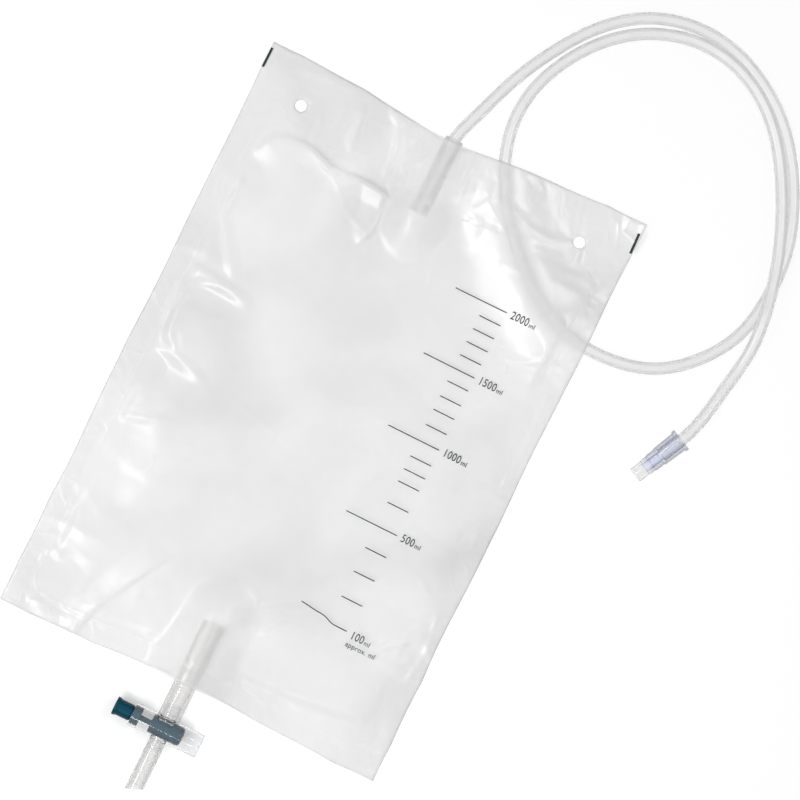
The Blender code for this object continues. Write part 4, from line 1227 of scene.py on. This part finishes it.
def make_tap_body(tap):
    """The cross moulding: barrel, shoulders and spigots in one, bored all the way.

    The rods of one kind have a side count of their own, so that no two faces of a Boolean lie
    on each other.
    """
    hard = clear_plastic("tap_plastic", tap.clear_colour, glass=0.96, rough=0.02, shade=0.02,
                         index=1.42, rim=0.92, reach=0.15)
    centre = Vector((OUTLET_X, (PLUNGER_LOW.y + PLUNGER_HIGH.y) / 2, TAP_Z))
    barrel_r = (TAP_HIGH.z - TAP_LOW.z) / 2
    left = Vector((TAP_LOW.x, centre.y, TAP_Z))
    right = Vector((TAP_HIGH.x, centre.y, TAP_Z))
    past = Vector((0.002, 0.0, 0.0))
    up = Vector((0.0, 1.0, 0.0))
    drain_r = (DRAIN_HIGH.x - DRAIN_LOW.x) / 2
    spout_r = (SPOUT_HIGH.x - SPOUT_LOW.x) / 2
    shoulder = barrel_r + 0.0005
    tall = TAP_HIGH.y - centre.y
    deep = centre.y - TAP_LOW.y
    barrel_edge, edge = 0.0003, 0.0002
    drain_bore_r, spout_bore_r = 0.0033, 0.0027
    union_sides, bore_sides = 164, 172
    base = rounded_rod("barrel", barrel_r, left, right, barrel_edge, sides=180)
    unions = (("drain_shoulder", drain_r - 0.0001, up * shoulder),
              ("drain_spigot", tap.drain_bore / 2 - CLEARANCE, up * tall),
              ("spout_shoulder", spout_r, -up * shoulder),
              ("spout_spigot", tap.spout_bore / 2 - CLEARANCE, -up * deep))
    bores = (("barrel_bore", tap.barrel_bore / 2, left - past, right + past),
             ("drain_bore", drain_bore_r, centre, centre + up * (tall + past.x)),
             ("spout_bore", spout_bore_r, centre, centre - up * (deep + past.x)))
    tools = [("UNION", rounded_rod(name, radius, centre, centre + reach, edge, union_sides))
             for name, radius, reach in unions]
    tools += [("DIFFERENCE", rounded_rod(name, radius, start, end, edge, bore_sides))
              for name, radius, start, end in bores]
    piece("tap_cross", combine(base, tools), "bag", "tap_plastic", hard, ["tap_body"])


def teal_material(teal):
    """Solid, smooth plastic with faint clouds, and painted shade: darker where its surface is seen
    edge on.
    """
    material, tree, shader, place = worn_material("teal_plastic", 0.20, 0.10)
    shader.inputs["Specular IOR Level"].default_value = 0.2
    paler = [1.25 * value + 0.001 for value in teal]
    darker = [0.12 * value for value in teal]
    clouds = blend(tree, noise(tree, place, 160.0, 2.0), (*teal, 1.0), (*paler, 1.0))
    # Painted shade: the colour falls to 0.12 of the teal where the surface is seen edge on
    edge = add_node(tree, "ShaderNodeLayerWeight", {"Blend": 0.62}).outputs["Facing"]
    tree.links.new(blend(tree, edge, clouds, (*darker, 1.0)), shader.inputs["Base Color"])
    bump = add_node(tree, "ShaderNodeBump", {
        "Height": moulded(tree), "Strength": 0.35, "Distance": 0.0001})
    tree.links.new(bump.outputs[0], shader.inputs["Normal"])
    return material


def make_plunger(tap):
    """The plunger: a flared knob, a sealing disc, a thin stem and the sealing body.

    Its outline runs from the sealing body's end to the knob's, as (radius, along from the
    barrel's left end), and its two ends on the axis stay unrounded.
    """
    knob = TAP_LOW.x - PLUNGER_LOW.x
    length = PLUNGER_HIGH.x - TAP_LOW.x
    seal = (PLUNGER_HIGH.z - PLUNGER_LOW.z) / 2
    disc = (CLEARANCE, CLEARANCE + 0.0042)
    body = disc[1] + 0.0061
    stem, neck, waist, head = 0.0015, 0.0040, 0.0044, 0.00495
    hollow = 0.0006
    corners = [(0.0, length), (seal - 0.0016, length), (seal - 0.0004, length - 0.0006),
               (seal, length - 0.0020), (seal, body), (stem, body), (stem, disc[1]),
               (seal, disc[1]), (seal, disc[0]), (neck, disc[0]), (neck, -0.0006),
               (waist, -0.0010), (waist, -knob + 0.0024), (head, -knob + 0.0012),
               (head, -knob), (0.0037, -knob), (0.0032, -knob + hollow), (0.0, -knob + hollow)]
    steps = 5
    rounded = filleted(corners[1:-1], 0.0003, steps)[steps:-steps]
    outline = np.vstack([corners[:2], rounded, corners[-2:]])
    origin = (TAP_LOW.x, (PLUNGER_LOW.y + PLUNGER_HIGH.y) / 2, TAP_Z)
    mesh = turned_mesh("plunger", outline, origin, (1, 0, 0), sides=96, closed=False)
    piece("plunger", mesh, "plunger", "plunger_plastic", teal_material(tap.teal), ["tap_plunger"])


def make_stage(stage):
    """A white floor, a pale sky, softboxes and strips, and the camera looking straight down."""
    scene = bpy.context.scene
    scene.view_settings.view_transform = "Standard"
    make_floor()
    make_sky(scene)
    # Name, azimuth and zenith angle in degrees, distance, width, height and power in watts
    lamps = (
        ("key_soft", 226.0, 35.0, 1.50, 0.90, 0.22, 7.8),
        ("left_strip", 176.0, 34.0, 1.50, 0.70, 0.07, 1.2),
        ("foot_strip", 276.0, 32.0, 1.50, 0.70, 0.07, 1.2),
        ("far_soft", 42.0, 36.0, 1.50, 0.70, 0.22, 3.2),
    )
    aim = Vector((stage.aim_x, stage.aim_y, 0.0))
    for name, azimuth, zenith, distance, width, height, power in lamps:
        a = math.radians(azimuth)
        z = math.radians(zenith)
        away = Vector((math.cos(a) * math.sin(z), math.sin(a) * math.sin(z), math.cos(z)))
        light = bpy.data.lights.new(name, "AREA")
        light.shape = "RECTANGLE"
        light.size = width
        light.size_y = height
        light.energy = power * stage.lamp_level
        lamp = bpy.data.objects.new(name, light)
        lamp.location = aim + away * distance
        lamp.rotation_euler = away.to_track_quat("Z", "Y").to_euler()
        scene.collection.objects.link(lamp)
    camera = bpy.data.objects.new("camera", bpy.data.cameras.new("camera"))
    camera.data.lens = stage.lens
    camera.location = (stage.aim_x, stage.aim_y, stage.distance)
    camera.rotation_euler = (0.0, 0.0, stage.turn)
    scene.collection.objects.link(camera)
    scene.camera = camera


def make_floor():
    """The floor: white paint that shows a little brighter than it is lit."""
    half = 3.0
    glow = 0.30
    corners = np.array([[(-half, -half, 0.0), (half, -half, 0.0)],
                        [(-half, half, 0.0), (half, half, 0.0)]])
    mesh = grid_mesh("floor", corners)
    floor = bpy.data.objects.new("floor", mesh)
    bpy.context.scene.collection.objects.link(floor)
    material, tree, shader = new_material("floor_white")
    shader.inputs["Base Color"].default_value = (0.86, 0.86, 0.86, 1.0)
    shader.inputs["Roughness"].default_value = 0.9
    shader.inputs["Specular IOR Level"].default_value = 0.1
    path = add_node(tree, "ShaderNodeLightPath")
    seen = math_node(tree, "MAXIMUM", path.outputs["Is Camera Ray"], math_node(
        tree, "MAXIMUM", path.outputs["Is Glossy Ray"], path.outputs["Is Transmission Ray"]))
    shader.inputs["Emission Color"].default_value = (1.0, 1.0, 1.0, 1.0)
    tree.links.new(math_node(tree, "MULTIPLY", seen, glow), shader.inputs["Emission Strength"])
    mesh.materials.append(material)


def make_sky(scene):
    """The sky: white to the camera, and for light a grey horizon under a pale zenith."""
    world = bpy.data.worlds.new("sky")
    world.use_nodes = True
    scene.world = world
    tree = world.node_tree
    shader = tree.nodes["Background"]
    through_clear = 0.55
    way = add_node(tree, "ShaderNodeTexCoord").outputs["Generated"]
    height = add_node(tree, "ShaderNodeSeparateXYZ", {0: way}).outputs[2]
    level = add_node(tree, "ShaderNodeMapRange", {
        "Value": height, "From Min": 0.0, "From Max": 0.9, "To Min": 0.15, "To Max": 0.46})
    path = add_node(tree, "ShaderNodeLightPath").outputs
    inside = math_node(tree, "MULTIPLY", path["Is Transmission Ray"], through_clear)
    shade = math_node(tree, "MAXIMUM", level.outputs[0], math_node(
        tree, "MAXIMUM", path["Is Camera Ray"], inside))
    colour = add_node(tree, "ShaderNodeCombineColor", {0: shade, 1: shade, 2: shade})
    tree.links.new(colour.outputs[0], shader.inputs["Color"])


class DRAINBAG_OT_stage(bpy.types.Operator):
    """Set the camera, the lamps, the floor and the shared shader groups."""

    bl_idname = "drainage_bag.stage"
    bl_label = "Stage"

    def execute(self, context):
        for make in (make_film_relief, make_handling, make_weld_lines, make_flow_lines):
            make()
        make_stage(context.scene.bag_stage)
        return {"FINISHED"}


class DRAINBAG_OT_tube(bpy.types.Operator):
    """Make the connector and the inlet tube."""

    bl_idname = "drainage_bag.tube"
    bl_label = "Inlet Tube"

    def execute(self, context):
        make_connector(context.scene.bag_tube)
        make_tube(context.scene.bag_tube)
        return {"FINISHED"}


class DRAINBAG_OT_port(bpy.types.Operator):
    """Make the inlet port and the return valve."""

    bl_idname = "drainage_bag.port"
    bl_label = "Port And Valve"

    def execute(self, context):
        make_port(context.scene.bag_tube)
        return {"FINISHED"}


class DRAINBAG_OT_films(bpy.types.Operator):
    """Make the two films."""

    bl_idname = "drainage_bag.films"
    bl_label = "Films"

    def execute(self, context):
        make_films(context.scene.bag_films)
        return {"FINISHED"}


class DRAINBAG_OT_print(bpy.types.Operator):
    """Print the volume scale and the corner marks."""

    bl_idname = "drainage_bag.print"
    bl_label = "Print"

    def execute(self, context):
        make_print(context.scene.bag_films, context.scene.bag_print)
        return {"FINISHED"}


class DRAINBAG_OT_drain(bpy.types.Operator):
    """Make the drain tube and the spout."""

    bl_idname = "drainage_bag.drain"
    bl_label = "Drain And Spout"

    def execute(self, context):
        make_drain(context.scene.bag_tap)
        return {"FINISHED"}


class DRAINBAG_OT_tap(bpy.types.Operator):
    """Make the tap's body and its plunger."""

    bl_idname = "drainage_bag.tap"
    bl_label = "Tap"

    def execute(self, context):
        make_tap_body(context.scene.bag_tap)
        make_plunger(context.scene.bag_tap)
        return {"FINISHED"}


class DRAINBAG_PT_panel(bpy.types.Panel):
    """The bag's steps, in order."""

    bl_idname = "DRAINBAG_PT_panel"
    bl_label = "Drainage Bag"
    bl_space_type = "VIEW_3D"
    bl_region_type = "UI"
    bl_category = "Drainage Bag"

    def draw(self, context):
        for operator in OPERATORS:
            self.layout.operator(operator.bl_idname)


GROUPS = {
    "bag_films": FilmSettings,
    "bag_print": PrintSettings,
    "bag_tube": TubeSettings,
    "bag_tap": TapSettings,
    "bag_stage": StageSettings,
}
OPERATORS = (
    DRAINBAG_OT_stage,
    DRAINBAG_OT_tube,
    DRAINBAG_OT_port,
    DRAINBAG_OT_films,
    DRAINBAG_OT_print,
    DRAINBAG_OT_drain,
    DRAINBAG_OT_tap,
)


def register():
    """Register the settings, the operators and the panel."""
    for name, group in GROUPS.items():
        bpy.utils.register_class(group)
        setattr(bpy.types.Scene, name, PointerProperty(type=group))
    for operator in OPERATORS:
        bpy.utils.register_class(operator)
    bpy.utils.register_class(DRAINBAG_PT_panel)


def unregister():
    """Undo register, in reverse."""
    bpy.utils.unregister_class(DRAINBAG_PT_panel)
    for operator in reversed(OPERATORS):
        bpy.utils.unregister_class(operator)
    for name, group in reversed(list(GROUPS.items())):
        delattr(bpy.types.Scene, name)
        bpy.utils.unregister_class(group)


def main():
    """Register the settings and the steps, then make the stage and every piece."""
    register()
    for operator in OPERATORS:
        group, step = operator.bl_idname.split(".")
        getattr(getattr(bpy.ops, group), step)()


if __name__ == "__main__":
    main()
